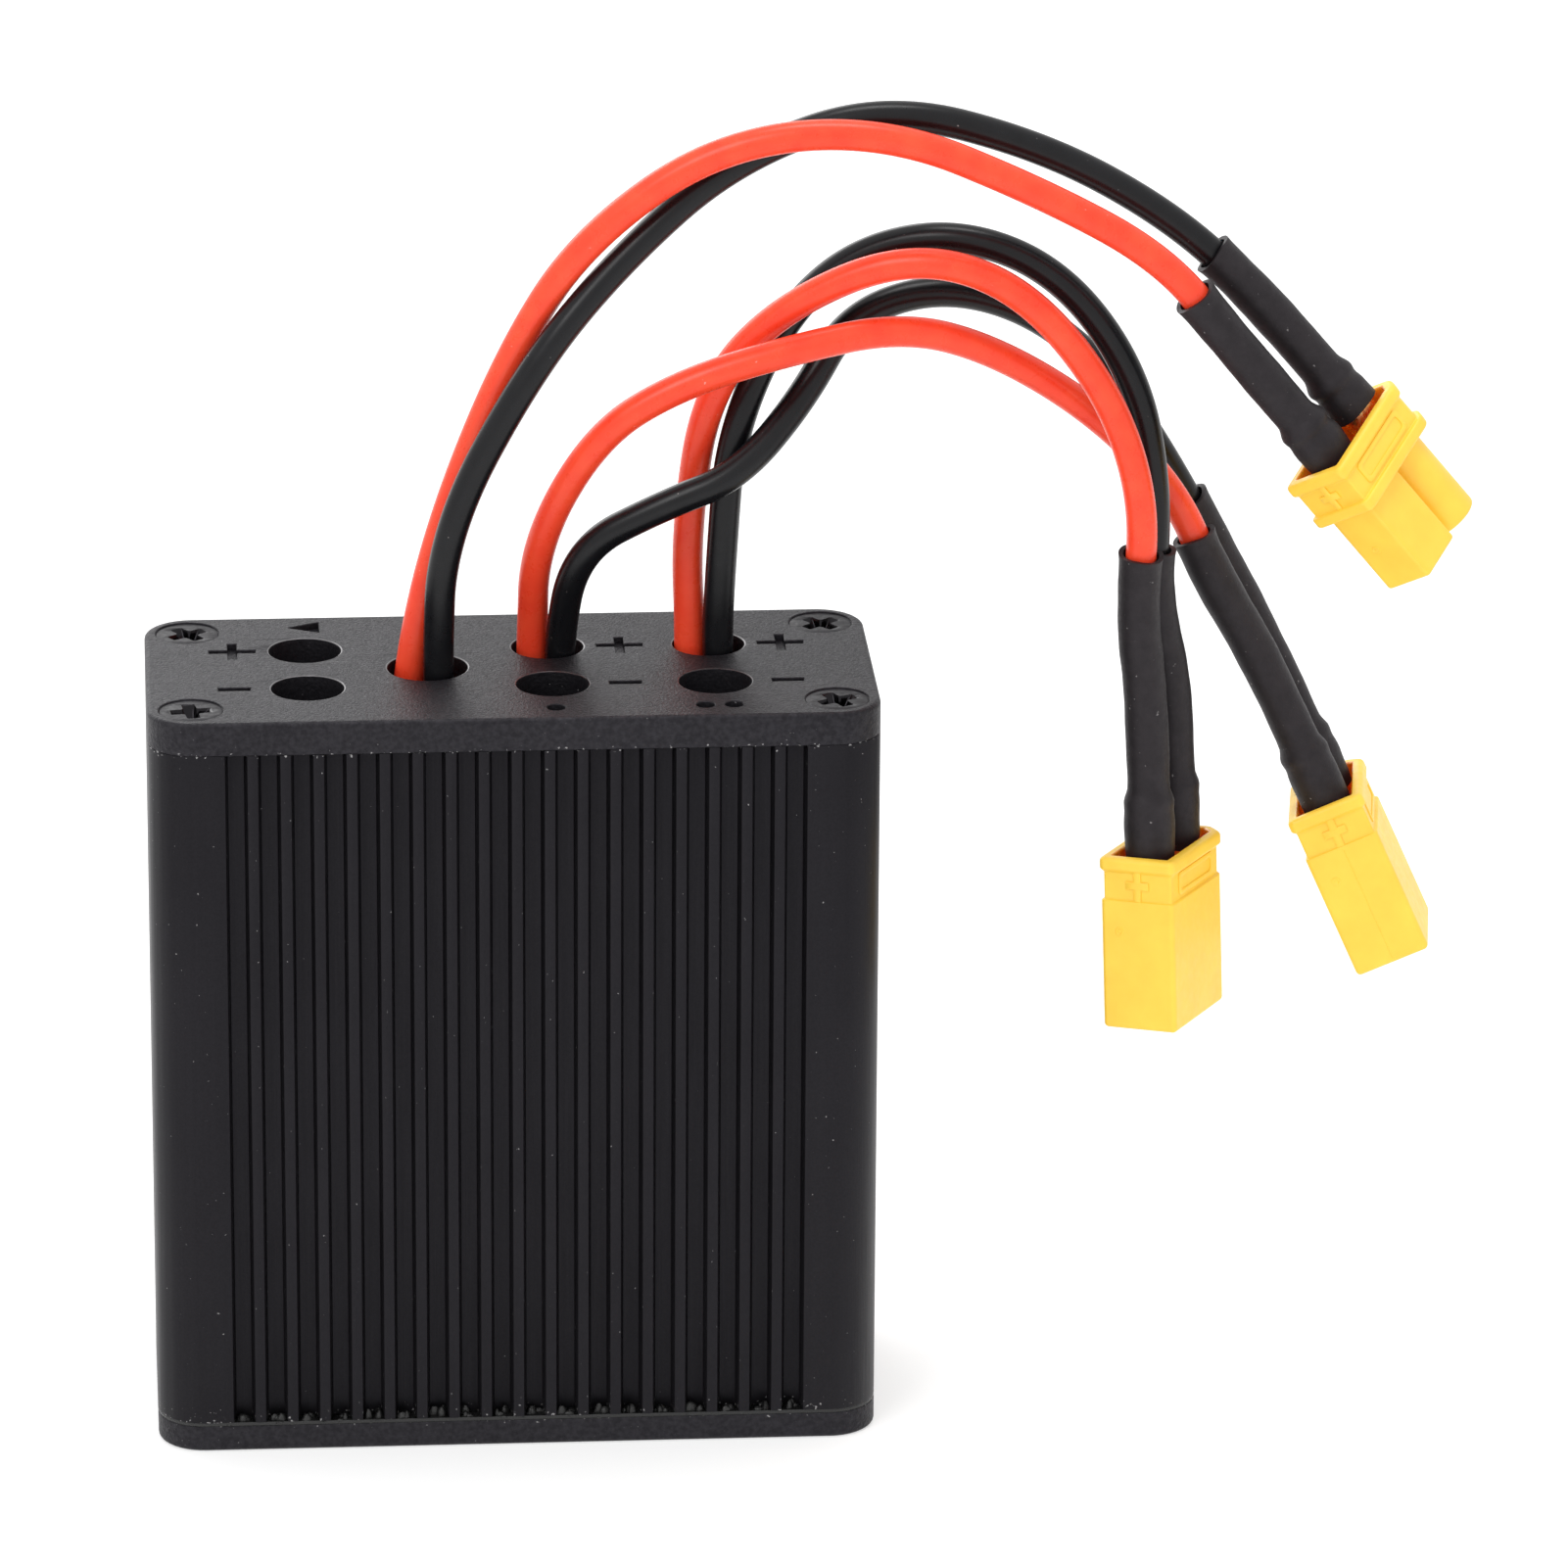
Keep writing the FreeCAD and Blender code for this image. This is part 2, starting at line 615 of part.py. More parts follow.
def rear_part():
    """Lip, set-in band and a raised plus, as both kinds of housing have."""
    lip = housing_block(FLANGE_W, FLANGE_L, 0, LIP)
    band_w, band_l = FLANGE_W - 2 * BAND_INSET, FLANGE_L - 2 * BAND_INSET
    band = housing_block(band_w, band_l, LIP, BAND_END, CHAMFER - BAND_INSET / 2)
    middle = (0, band_l / 2, (LIP + BAND_END) / 2)
    bars = [box_at((PLUS_MARK, 2 * PLUS_MARK_H, PLUS_MARK_W), middle),
            box_at((PLUS_MARK_W, 2 * PLUS_MARK_H, PLUS_MARK), middle)]
    return [lip, band] + bars


def rear_cavity():
    width, length = FLANGE_W - 2 * REAR_WALL_SIDE, FLANGE_L - 2 * REAR_WALL_END
    return housing_block(width, length, 0, REAR_DEPTH, CHAMFER - REAR_WALL_SIDE / 2)


def contact_places():
    return [V(0, sign * PITCH / 2, 0) for sign in (1, -1)]


def nose_block(grow, z0, z1):
    """The square plus lobe and the round minus lobe, with a narrow neck between."""
    width = NOSE_W + 2 * grow
    half = width / 2
    square = box_between((-half, PITCH / 2 - half, z0), (half, PITCH / 2 + half, z1))
    square = square.makeFillet(NOSE_W / 10, upright(square))
    lobe = cylinder(width, z1 - z0, V(0, -PITCH / 2, z0))
    neck_w = NECK_W + 2 * grow
    neck = box_between((-neck_w / 2, -PITCH / 2, z0), (neck_w / 2, PITCH / 2, z1))
    return square.fuse([lobe, neck]).removeSplitter()


def socket_housing():
    rim = housing_block(FLANGE_W, FLANGE_L, BAND_END, SOCKET_REAR)
    end = SOCKET_REAR + NOSE_LENGTH
    body = rear_part()[0].fuse(rear_part()[1:] + [rim, nose_block(0, SOCKET_REAR, end)])
    cuts = [rear_cavity()]
    for place in contact_places():
        bore = CONTACT_D + 2 * CONTACT_FIT
        cuts.append(cylinder(bore, end - MOUTH_T - REAR_DEPTH, place + Z * REAR_DEPTH))
        cuts.append(cylinder(MOUTH_D, 2 * MOUTH_T, place + Z * (end - MOUTH_T)))
    return body.removeSplitter().cut(cuts)


def plug_housing():
    shell = housing_block(SHELL_W, SHELL_L, BAND_END, PLUG_LENGTH)
    body = rear_part()[0].fuse(rear_part()[1:] + [shell])
    floor = REAR_DEPTH + WEB_T
    cavity = housing_block(NOSE_W + 2 * NOSE_CLEARANCE, 2 * (PITCH / 2 + NOSE_W / 2 + NOSE_CLEARANCE),
                           floor, PLUG_LENGTH)
    bore = CONTACT_D + 2 * CONTACT_FIT
    holes = [cylinder(bore, WEB_T, place + Z * REAR_DEPTH) for place in contact_places()]
    return body.removeSplitter().cut([rear_cavity(), cavity] + holes)


def solder_cup(place, end):
    """A contact's thick part, from its open solder cup to its end inside the housing."""
    back = place - Z * CUP_LENGTH
    body = cylinder(CONTACT_D, CUP_LENGTH + end, back)
    return body.cut(cylinder(CUP_BORE_D, CUP_BORE_DEPTH, back))


def plug_contacts():
    floor = REAR_DEPTH + WEB_T
    contacts = []
    for place in contact_places():
        length = PLUG_LENGTH - PIN_SINK - floor
        pin = cylinder(PIN_D, length, place + Z * floor)
        tip = edges_at_z(pin, PLUG_LENGTH - PIN_SINK)
        pin = pin.makeFillet(PIN_D / 2 * 0.8, tip)
        contacts.append(solder_cup(place, floor).fuse(pin).removeSplitter())
    return contacts


def socket_contacts():
    end = SOCKET_REAR + NOSE_LENGTH - MOUTH_T
    contacts = []
    for place in contact_places():
        bore = cylinder(SOCKET_BORE_D, end - SOCKET_REAR, place + Z * SOCKET_REAR)
        contacts.append(solder_cup(place, end).cut(bore))
    return contacts


def set_in_place(shape, name):
    """Moves a connector's piece from its own frame to where the connector lies."""
    rear, axis, plus = connector_frame(name)
    turn = FreeCAD.Rotation(plus.cross(axis), plus, axis, "ZYX")
    placed = shape.copy()
    placed.Placement = FreeCAD.Placement(rear, turn).multiply(shape.Placement)
    return placed


# ---------------------------------------------------------------- all nodes
def case_nodes():
    top = [screw(x, y, CASE_H, -1) for x, y in SCREW_POINTS]
    bottom = [screw(x, y, 0, 1) for x, y in SCREW_POINTS]
    return {
        "case_extrusion": [case_extrusion()],
        "top_end_plate": [top_end_plate()],
        "bottom_end_plate": [bottom_end_plate()],
        "bottom_gasket": [bottom_gasket()],
        "top_plate_screws": top,
        "bottom_plate_screws": bottom,
    }


def board_nodes():
    return {
        "circuit_board": [circuit_board()],
        "power_transistors": power_transistors(),
        "thermal_pad": [thermal_pad()],
        "heat_spreader": [heat_spreader()],
        "capacitor_bases": capacitor_bases(),
        "filter_capacitors": filter_capacitors(),
        "gate_drivers": gate_drivers(),
        "microcontroller": microcontroller(),
        "current_shunts": current_shunts(),
        "voltage_regulator": voltage_regulator(),
        "regulator_inductor": regulator_inductor(),
        "ceramic_capacitors": ceramic_capacitors(),
        "solder_lands": solder_lands(),
        "board_wire_ends": board_wire_ends(),
        "solder_joints": solder_joints(),
    }


def lead_nodes():
    nodes = {}
    for name in ROUTES:
        nodes[f"{name}_lead"] = [lead(name)]
        nodes[f"{name}_sleeve"] = [sleeve(name)]
    return nodes


def connector_nodes():
    nodes = {}
    for name, place in CONNECTORS.items():
        kind = place["kind"]
        housing = plug_housing() if kind == "plug" else socket_housing()
        contacts = plug_contacts() if kind == "plug" else socket_contacts()
        nodes[f"{name}_{kind}_housing"] = [set_in_place(housing, name)]
        nodes[f"{name}_{kind}_contacts"] = [set_in_place(c, name) for c in contacts]
        nodes[f"{name}_lead_tips"] = [lead_tip(f"{name}_{c}") for c in ("red", "black")]
    return nodes


def write(nodes):
    os.makedirs("parts", exist_ok=True)
    for name, solids in nodes.items():
        shape = solids[0] if len(solids) == 1 else Part.makeCompound(solids)
        if not shape.isValid() or len(shape.Solids) != len(solids):
            raise SystemExit(f"{name} isn't {len(solids)} valid solid(s)")
        shape.exportStep(f"parts/{name}.step")


write({**case_nodes(), **board_nodes(), **lead_nodes(), **connector_nodes()})
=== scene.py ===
"""The looks of the electronic speed controller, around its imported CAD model.

Sizes named here are in millimetres, and Blender's own units are metres. They repeat the
CAD's, apart from small details that are shaped for looks: the plates' edges, the engraved
marks, the screws' seats and recesses, the sealant, the sleeves' walls and ends, and the
connectors' steps, walls, neck and raised marks."""

import json
import math
import random

import bmesh
import bpy
from mathutils import Matrix, Vector
from mathutils.geometry import tessellate_polygon


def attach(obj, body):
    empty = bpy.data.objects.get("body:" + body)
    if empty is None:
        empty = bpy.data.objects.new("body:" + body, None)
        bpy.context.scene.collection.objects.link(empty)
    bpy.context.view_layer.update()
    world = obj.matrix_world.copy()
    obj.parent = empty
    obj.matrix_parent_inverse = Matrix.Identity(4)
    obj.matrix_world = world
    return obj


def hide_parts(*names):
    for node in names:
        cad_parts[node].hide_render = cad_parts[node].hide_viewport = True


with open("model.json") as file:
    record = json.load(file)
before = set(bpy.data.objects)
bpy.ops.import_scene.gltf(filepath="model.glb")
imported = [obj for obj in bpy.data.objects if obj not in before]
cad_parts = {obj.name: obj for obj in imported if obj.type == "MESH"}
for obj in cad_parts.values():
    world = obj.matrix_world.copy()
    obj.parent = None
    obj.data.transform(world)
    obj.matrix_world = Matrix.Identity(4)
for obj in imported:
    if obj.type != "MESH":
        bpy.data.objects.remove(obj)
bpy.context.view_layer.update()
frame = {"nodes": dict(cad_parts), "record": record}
NODES = frame["nodes"]
MM = 0.001

# camera, at the photograph's viewing angle
AIM = (20.5, 0.0, 48.2)
AZIMUTH = -4.2
ELEVATION = 20.25
ROLL = 0.38
DISTANCE = 750.0
LENS = 230.3
SENSOR = 36.0

# case
CASE_W = 54.0
CASE_D = 23.5
CASE_H = 58.0
CORNER_R = 3.5
TOP_T = 2.5
BOTTOM_T = 2.0
PLATE_EDGE_R = 0.35
GASKET_T = 0.3
RIB_PITCH = 2.42
GROOVES = 18
GROOVE_DEPTH = 1.2

# screws
SCREW_X = 23.78
SCREW_Y = 8.5
SCREW_D = 2.5
SCREW_LENGTH = 8.0
HEAD_R = 2.35
SEAT_R = 2.4
HEAD_SINK = 0.1
RECESS_SPAN = 3.0
RECESS_W = 0.98
RECESS_DEPTH = 1.1
THREAD_PITCH = 0.45
SCREW_TURNS = {(-1, -1): 8, (-1, 1): 35, (1, -1): 28, (1, 1): 40}

# wire holes and engraved marks in the top plate
OUT_X = -15.1
COM_X = -6.1
A_X = 3.0
B_X = 15.05
ROW_Y = 4.15
WIRE_HOLE_R = 2.7
COM_HOLE_R = 3.0
MARK_DEPTH = 0.5
MARK_W = 0.7
PLUS_SPAN = 3.5
MINUS_SPAN = 2.4
MARK_GAP = 5.4
LABEL_Y = 9.3
LABEL_SPAN = 2.4

# connectors
PITCH = 5.0
FLANGE_W = 6.1
FLANGE_L = 10.9
CHAMFER = 1.2
SHELL_IN = 0.11            # each step is measured inwards from the flange's outline
BAND_IN = 0.32
CAVITY_IN = 0.88
MOUTH_IN = 0.6
LIP = 0.9
BAND_END = 3.3
REAR_DEPTH = 3.0
PLUG_LENGTH = 13.3
PLUG_FLOOR = 5.4
SOCKET_REAR = 4.2
SOCKET_LENGTH = 11.4
NOSE_W = 4.5
NECK_W = 1.5
BORE_R = 1.47
MOUTH_R = 1.15
MOUTH_T = 0.4
CUP_LENGTH = 4.8
CUP_R = 1.45
CONNECTORS = {
    "com": {"kind": "socket", "rear": (61.8, 0.0, 75.2), "axis": (0.64, 0.01, -0.77),
            "plus": (-0.50, -0.75, -0.43)},
    "a": {"kind": "plug", "rear": (62.2, 7.5, 44.3), "axis": (0.41, -0.11, -0.91),
          "plus": (-0.11, -0.99, 0.0)},
    "b": {"kind": "plug", "rear": (49.0, -0.5, 43.2), "axis": (0.03, -0.09, -1.0),
          "plus": (-0.47, -0.88, 0.0)},
}

# leads and their heat-shrink sleeves
LEAD_D = 2.3
LAST_RUN = 7.0
SLEEVE_R = 1.6
SLEEVE_CUP_R = 1.9
SLEEVE_WALL = 0.36
# how far each sleeve reaches past its connector's rear face
SLEEVE_INSERT = {"com_red": 0.8, "com_black": -0.2, "a_red": 1.0, "a_black": 1.0,
                 "b_red": 1.0, "b_black": 1.0}
# how late each sleeve widens over its cup, how bumpy it is, and how far its end is flared
SLEEVE_FORMS = {"com_red": (1.1, 0.13, 0.0), "com_black": (0.9, 0.10, 0.22), "a_red": (0.2, 0.05, 0.0),
                "a_black": (0.3, 0.05, 0.0), "b_red": (0.2, 0.03, -0.03), "b_black": (0.1, 0.04, 0.0)}
SLEEVE_RUN = {"com": 2, "a": 3, "b": 3}
ROUTES = {
    "com_red": [(-8.6, 2.3, 42.0), (-7.8, 1.3, 50.0), (-7.5, 0.8, 58.0), (-5.0, 2.0, 68.5),
                (0.0, 1.5, 81.5), (5.5, 0.0, 91.0), (15.5, -1.0, 98.5), (27.5, -1.5, 99.5),
                (39.0, -1.5, 94.5), (48.0, -2.0, 89.5)],
    "com_black": [(-4.9, -2.3, 42.0), (-5.2, -1.6, 50.0), (-5.4, -0.7, 58.0),
                  (-5.0, -1.5, 69.0), (1.5, -1.5, 81.5), (8.0, 0.5, 89.0), (16.5, 1.5, 96.5),
                  (27.5, 1.5, 100.5), (39.5, 2.0, 97.0), (49.0, 2.0, 91.5)],
    "a_red": [(1.0, 2.6, 42.0), (1.6, 3.9, 50.0), (1.9, 4.85, 58.0), (2.0, 3.0, 66.5),
              (6.5, 1.0, 75.5), (12.5, 0.5, 79.5), (20.5, 0.5, 82.0), (29.0, 1.5, 83.5),
              (36.0, 3.5, 81.0), (44.0, 5.0, 75.5), (50.0, 5.5, 69.0), (53.0, 6.0, 62.0)],
    "a_black": [(4.8, 2.4, 42.0), (4.2, 3.1, 50.0), (3.7, 3.4, 58.0), (5.0, 1.5, 66.5),
                (11.5, 0.5, 70.2), (17.0, 0.6, 72.3), (22.0, 4.3, 77.0), (25.5, 7.0, 82.5),
                (32.0, 8.0, 84.5), (39.0, 9.0, 82.5), (45.0, 9.5, 77.5), (49.5, 10.0, 70.5),
                (53.5, 11.0, 63.0)],
    "b_red": [(12.6, 2.6, 42.0), (13.4, 3.9, 50.0), (13.75, 4.75, 58.0), (13.4, 5.2, 66.5),
              (14.9, 4.4, 78.0), (20.5, 3.8, 84.5), (29.5, 1.6, 89.0), (37.5, 0.2, 87.0),
              (44.0, -1.0, 79.5), (47.0, -2.5, 71.0), (46.5, -2.0, 62.0)],
    "b_black": [(17.0, 2.4, 42.0), (16.2, 3.0, 50.0), (15.6, 3.3, 58.0), (16.0, 3.5, 65.5),
                (16.6, 3.5, 74.5), (20.5, 6.5, 82.5), (26.0, 6.0, 88.0), (33.5, 3.8, 90.0),
                (41.0, 2.8, 87.0), (46.5, 1.8, 79.5), (48.3, 1.5, 70.5), (48.0, 2.0, 61.5)],
}


# ---------------------------------------------------------------- materials
class Shader:
    """One node material: a Principled shader and short calls that add nodes to it."""

    def __init__(self, name, color, roughness, metallic=0.0, **inputs):
        self.material = bpy.data.materials.new(name)
        self.material.use_nodes = True
        self.tree = self.material.node_tree
        self.bsdf = self.tree.nodes["Principled BSDF"]
        self.place = self.add("ShaderNodeTexCoord").outputs["Object"]
        self.set(self.bsdf, "Base Color", (*color, 1.0))
        self.set(self.bsdf, "Roughness", roughness)
        self.set(self.bsdf, "Metallic", metallic)
        for key, value in inputs.items():
            self.set(self.bsdf, key.replace("_", " "), value)

    def add(self, kind, **settings):
        node = self.tree.nodes.new(kind)
        for key, value in settings.items():
            setattr(node, key, value)
        return node

    def set(self, node, key, value):
        node.inputs[key].default_value = value

    def link(self, output, socket):
        self.tree.links.new(output, socket)

    def stretched(self, scale):
        """Object coordinates, in units of 1 mm times each scale."""
        mapping = self.add("ShaderNodeMapping")
        self.set(mapping, "Scale", [s / MM for s in scale])
        self.link(self.place, mapping.inputs["Vector"])
        return mapping.outputs["Vector"]

    def noise(self, scale, detail=3.0, stretch=(1, 1, 1)):
        """Noise with about scale cells per millimetre."""
        node = self.add("ShaderNodeTexNoise")
        self.set(node, "Scale", 1.0)
        self.set(node, "Detail", detail)
        self.set(node, "Roughness", 0.55)
        self.link(self.stretched([scale * s for s in stretch]), node.inputs["Vector"])
        return node.outputs["Fac"]

    def ramp(self, value, stops):
        """Maps a value through (position, grey or colour) stops."""
        node = self.add("ShaderNodeValToRGB")
        ramp = node.color_ramp
        while len(ramp.elements) < len(stops):
            ramp.elements.new(0.5)
        for element, (position, shade) in zip(ramp.elements, stops):
            element.position = position
            element.color = (*((shade,) * 3 if isinstance(shade, (int, float)) else shade), 1.0)
        self.link(value, node.inputs["Fac"])
        return node.outputs["Color"]

    def mix(self, factor, first, second):
        """Blends two colours by a linked factor; each may be a colour or an output."""
        node = self.add("ShaderNodeMix", data_type="RGBA")
        self.link(factor, node.inputs["Factor"])
        for key, value in ((6, first), (7, second)):
            if isinstance(value, tuple):
                node.inputs[key].default_value = (*value, 1.0)
            else:
                self.link(value, node.inputs[key])
        return node.outputs[2]

    def math(self, kind, first, second):
        node = self.add("ShaderNodeMath", operation=kind)
        for key, value in ((0, first), (1, second)):
            if isinstance(value, (int, float)):
                node.inputs[key].default_value = value
            else:
                self.link(value, node.inputs[key])
        return node.outputs[0]

    def near_height(self, z, half):
        """1 at the height z, falling to 0 at half above and below it, in millimetres."""
        split = self.add("ShaderNodeSeparateXYZ")
        self.link(self.place, split.inputs["Vector"])
        away = self.math("ABSOLUTE", self.math("SUBTRACT", split.outputs["Z"], z * MM), 0.0)
        return self.ramp(self.math("DIVIDE", away, half * MM), [(0.0, 1.0), (1.0, 0.0)])

    def color(self, output):
        self.link(output, self.bsdf.inputs["Base Color"])

    def roughness(self, output):
        self.link(output, self.bsdf.inputs["Roughness"])

    def bump(self, height, depth):
        """Bump from a height of 0 to 1, that stands for a depth in millimetres."""
        node = self.add("ShaderNodeBump")
        self.set(node, "Strength", 1.0)
        self.set(node, "Distance", depth * MM)
        self.link(height, node.inputs["Height"])
        self.link(node.outputs["Normal"], self.bsdf.inputs["Normal"])


def anodised(name, dark, light, roughness, gloss, grain, dust_rows=()):
    """Black anodised aluminium: grain, cloudy tone, and dust that gathers at some heights.

    grain is (cells per mm, stretch, depth in mm, uneven gloss); each dust row is (z, half
    height) in mm."""
    s = Shader(name, dark, roughness, Specular_Tint=(0.93, 0.89, 1.0, 1.0))
    cells, stretch, depth, fleck = grain
    skin = s.noise(cells, stretch=stretch)
    cloud = s.noise(0.12)
    fine = s.noise(1.6, detail=4.0, stretch=stretch)
    tone = s.math("ADD", s.math("MULTIPLY", cloud, 0.6), s.math("MULTIPLY", fine, 0.4))
    tone = s.mix(s.ramp(tone, [(0.38, 0.0), (0.64, 1.0)]), dark, light)
    speck = s.noise(3.6, detail=2.0)
    for z, half in dust_rows:
        speck = s.math("ADD", speck, s.math("MULTIPLY", s.near_height(z, half), 0.135))
    dust = s.ramp(speck, [(0.75, 0.0), (0.78, 1.0)])
    s.color(s.mix(s.math("MULTIPLY", dust, 0.6), tone, (0.42, 0.41, 0.41)))
    s.roughness(s.ramp(skin, [(0.3, roughness - 0.06), (0.7, roughness + 0.06)]))
    low, high = (1 - fleck) * gloss, (1 + fleck) * gloss
    shine = s.ramp(s.noise(cells * 0.6, detail=4.0), [(0.36, low), (0.64, high)])
    s.link(shine, s.bsdf.inputs["Specular IOR Level"])
    s.bump(skin, depth)
    return s.material


def silicone(name, color, shade, roughness, gloss):
    """Soft wire insulation: faintly uneven tone, fine skin and a few pale specks."""
    s = Shader(name, color, roughness, Subsurface_Weight=0.05, Subsurface_Scale=0.4 * MM,
               Specular_IOR_Level=gloss)
    cloud = s.noise(0.5)
    tone = s.mix(s.ramp(cloud, [(0.3, 0.0), (0.7, 1.0)]), color, shade)
    speck = s.ramp(s.noise(2.2, detail=2.0), [(0.76, 0.0), (0.8, 1.0)])
    s.color(s.mix(s.math("MULTIPLY", speck, 0.35), tone, (0.8, 0.72, 0.7)))
    s.roughness(s.ramp(s.noise(1.2), [(0.3, roughness - 0.02), (0.7, roughness + 0.03)]))
    s.bump(s.noise(9.0), 0.002)
    return s.material


def heat_shrink():
    """Matt black polyolefin tube with a soft mottled skin and a few pale specks."""
    dark, light = (0.0105, 0.0088, 0.0096), (0.0165, 0.014, 0.0152)
    s = Shader("heat_shrink", dark, 0.5, Specular_IOR_Level=0.3, Specular_Tint=(1.0, 0.93, 1.0, 1.0))
    tone = s.mix(s.ramp(s.noise(0.9), [(0.35, 0.0), (0.7, 1.0)]), dark, light)
    speck = s.ramp(s.noise(2.4, detail=2.0), [(0.73, 0.0), (0.78, 1.0)])
    s.color(s.mix(s.math("MULTIPLY", speck, 0.35), tone, (0.5, 0.48, 0.48)))
    s.roughness(s.ramp(s.noise(3.0), [(0.3, 0.46), (0.7, 0.6)]))
    s.bump(s.noise(5.0), 0.02)
    return s.material


def nylon(name, bright, deep, roughness, depth):
    """Yellow moulded nylon: mottled tone and gloss, and a fine eroded skin. Light gets into
    it as far as depth, in millimetres."""
    s = Shader(name, bright, roughness, Subsurface_Weight=depth / 4, Subsurface_Scale=depth * MM,
               Subsurface_Radius=(1.0, 0.5, 0.08))
    cloud = s.noise(0.35)
    s.color(s.mix(s.ramp(cloud, [(0.3, 0.0), (0.72, 1.0)]), bright, deep))
    s.roughness(s.ramp(s.noise(1.8), [(0.3, roughness - 0.06), (0.7, roughness + 0.08)]))
    s.bump(s.noise(8.0), 0.008)
    return s.material


def metal(name, color, roughness):
    s = Shader(name, color, roughness, metallic=1.0)
    scratch = s.noise(6.0, stretch=(1, 1, 0.2))
    s.roughness(s.ramp(scratch, [(0.3, roughness - 0.08), (0.7, roughness + 0.1)]))
    s.bump(scratch, 0.006)
    return s.material


def moulded(name, color, roughness, rough_cells=4.0, depth=0.008):
    s = Shader(name, color, roughness)
    s.roughness(s.ramp(s.noise(rough_cells), [(0.3, roughness - 0.05), (0.7, roughness + 0.07)]))
    s.bump(s.noise(12.0), depth)
    return s.material


def make_materials():
    seam = CASE_H - TOP_T
    joint = BOTTOM_T + GASKET_T / 2
    return {
        "case": anodised("case_anodised", (0.0048, 0.0045, 0.0053), (0.0068, 0.0064, 0.0075),
                         0.42, 0.19, (10.0, (1, 1, 0.015), 0.007, 0.08), [(seam, 0.5), (joint, 1.6)]),
        "plate": anodised("plate_anodised", (0.0065, 0.0061, 0.0073), (0.010, 0.0095, 0.0112),
                          0.46, 0.28, (4.5, (1, 1, 1), 0.07, 0.28), [(seam, 0.35), (joint, 0.5)]),
        # painted highlight: a lighter bare-metal look on the wire holes' rims stands in for the light
        # their bevelled edges catch
        "rim_highlight": metal("hole_rim_painted_highlight", (0.17, 0.165, 0.17), 0.35),
        "sealant": moulded("sealant_set", (0.008, 0.008, 0.008), 0.2, 3.0, 0.05),
        "screw": anodised("screw_black_oxide", (0.006, 0.0056, 0.0066), (0.009, 0.0085, 0.010),
                          0.44, 0.2, (3.0, (1, 1, 1), 0.03, 0.1)),
        "recess": metal("screw_recess", (0.022, 0.021, 0.023), 0.16),
        "gasket": moulded("gasket_rubber", (0.012, 0.012, 0.012), 0.3),
        "board": moulded("board_mask", (0.012, 0.06, 0.03), 0.3),
        "land": metal("land_gold", (0.85, 0.62, 0.28), 0.35),
        "solder": metal("solder", (0.72, 0.72, 0.74), 0.3),
        "package": moulded("package_epoxy", (0.02, 0.02, 0.02), 0.5),
        "pad": moulded("thermal_pad_silicone", (0.28, 0.32, 0.38), 0.7),
        "spreader": metal("spreader_aluminium", (0.75, 0.75, 0.77), 0.35),
        "can": metal("can_aluminium", (0.8, 0.8, 0.82), 0.25),
        "shunt": metal("shunt_alloy", (0.3, 0.28, 0.26), 0.4),
        "ceramic": moulded("capacitor_ceramic", (0.35, 0.22, 0.12), 0.5),
        "red_wire": silicone("red_silicone", (0.94, 0.08, 0.030), (0.90, 0.055, 0.021), 0.28, 0.32),
        "black_wire": silicone("black_silicone", (0.0042, 0.0042, 0.0052),
                               (0.0065, 0.0065, 0.0078), 0.28, 0.27),
        "sleeve": heat_shrink(),
        "housing": nylon("yellow_nylon", (0.97, 0.64, 0.062), (0.95, 0.575, 0.05), 0.42, 0.0),
        # painted shade: a deeper orange copy of the nylon for the faces deep inside the connectors
        "housing_painted_shade": nylon("yellow_nylon_painted_shade", (0.95, 0.36, 0.02), (0.90, 0.28, 0.015),
                                0.22, 2.0),
        "contact": metal("contact_gold", (0.90, 0.66, 0.30), 0.25),
    }


# ---------------------------------------------------------------- carried-over CAD nodes
def soften(node, width):
    """Rounds a CAD node's edges for looks, with modifiers that leave its mesh as it is."""
    for polygon in node.data.polygons:
        polygon.use_smooth = True
    weld = node.modifiers.new("weld", "WELD")
    weld.merge_threshold = 1e-6
    flat = node.modifiers.new("flat", "DECIMATE")
    flat.decimate_type = "DISSOLVE"
    flat.angle_limit = math.radians(0.5)
    bevel = node.modifiers.new("bevel", "BEVEL")
    bevel.width = width * MM
    bevel.segments = 2
    bevel.limit_method = "ANGLE"
    bevel.angle_limit = math.radians(32)
    bevel.harden_normals = True


def dress_nodes(materials):
    slots = {row["node"]: row["material_slot"] for row in frame["record"]["subparts"]}
    for name, node in NODES.items():
        node.data.materials.clear()
        node.data.materials.append(materials[slots[name]])


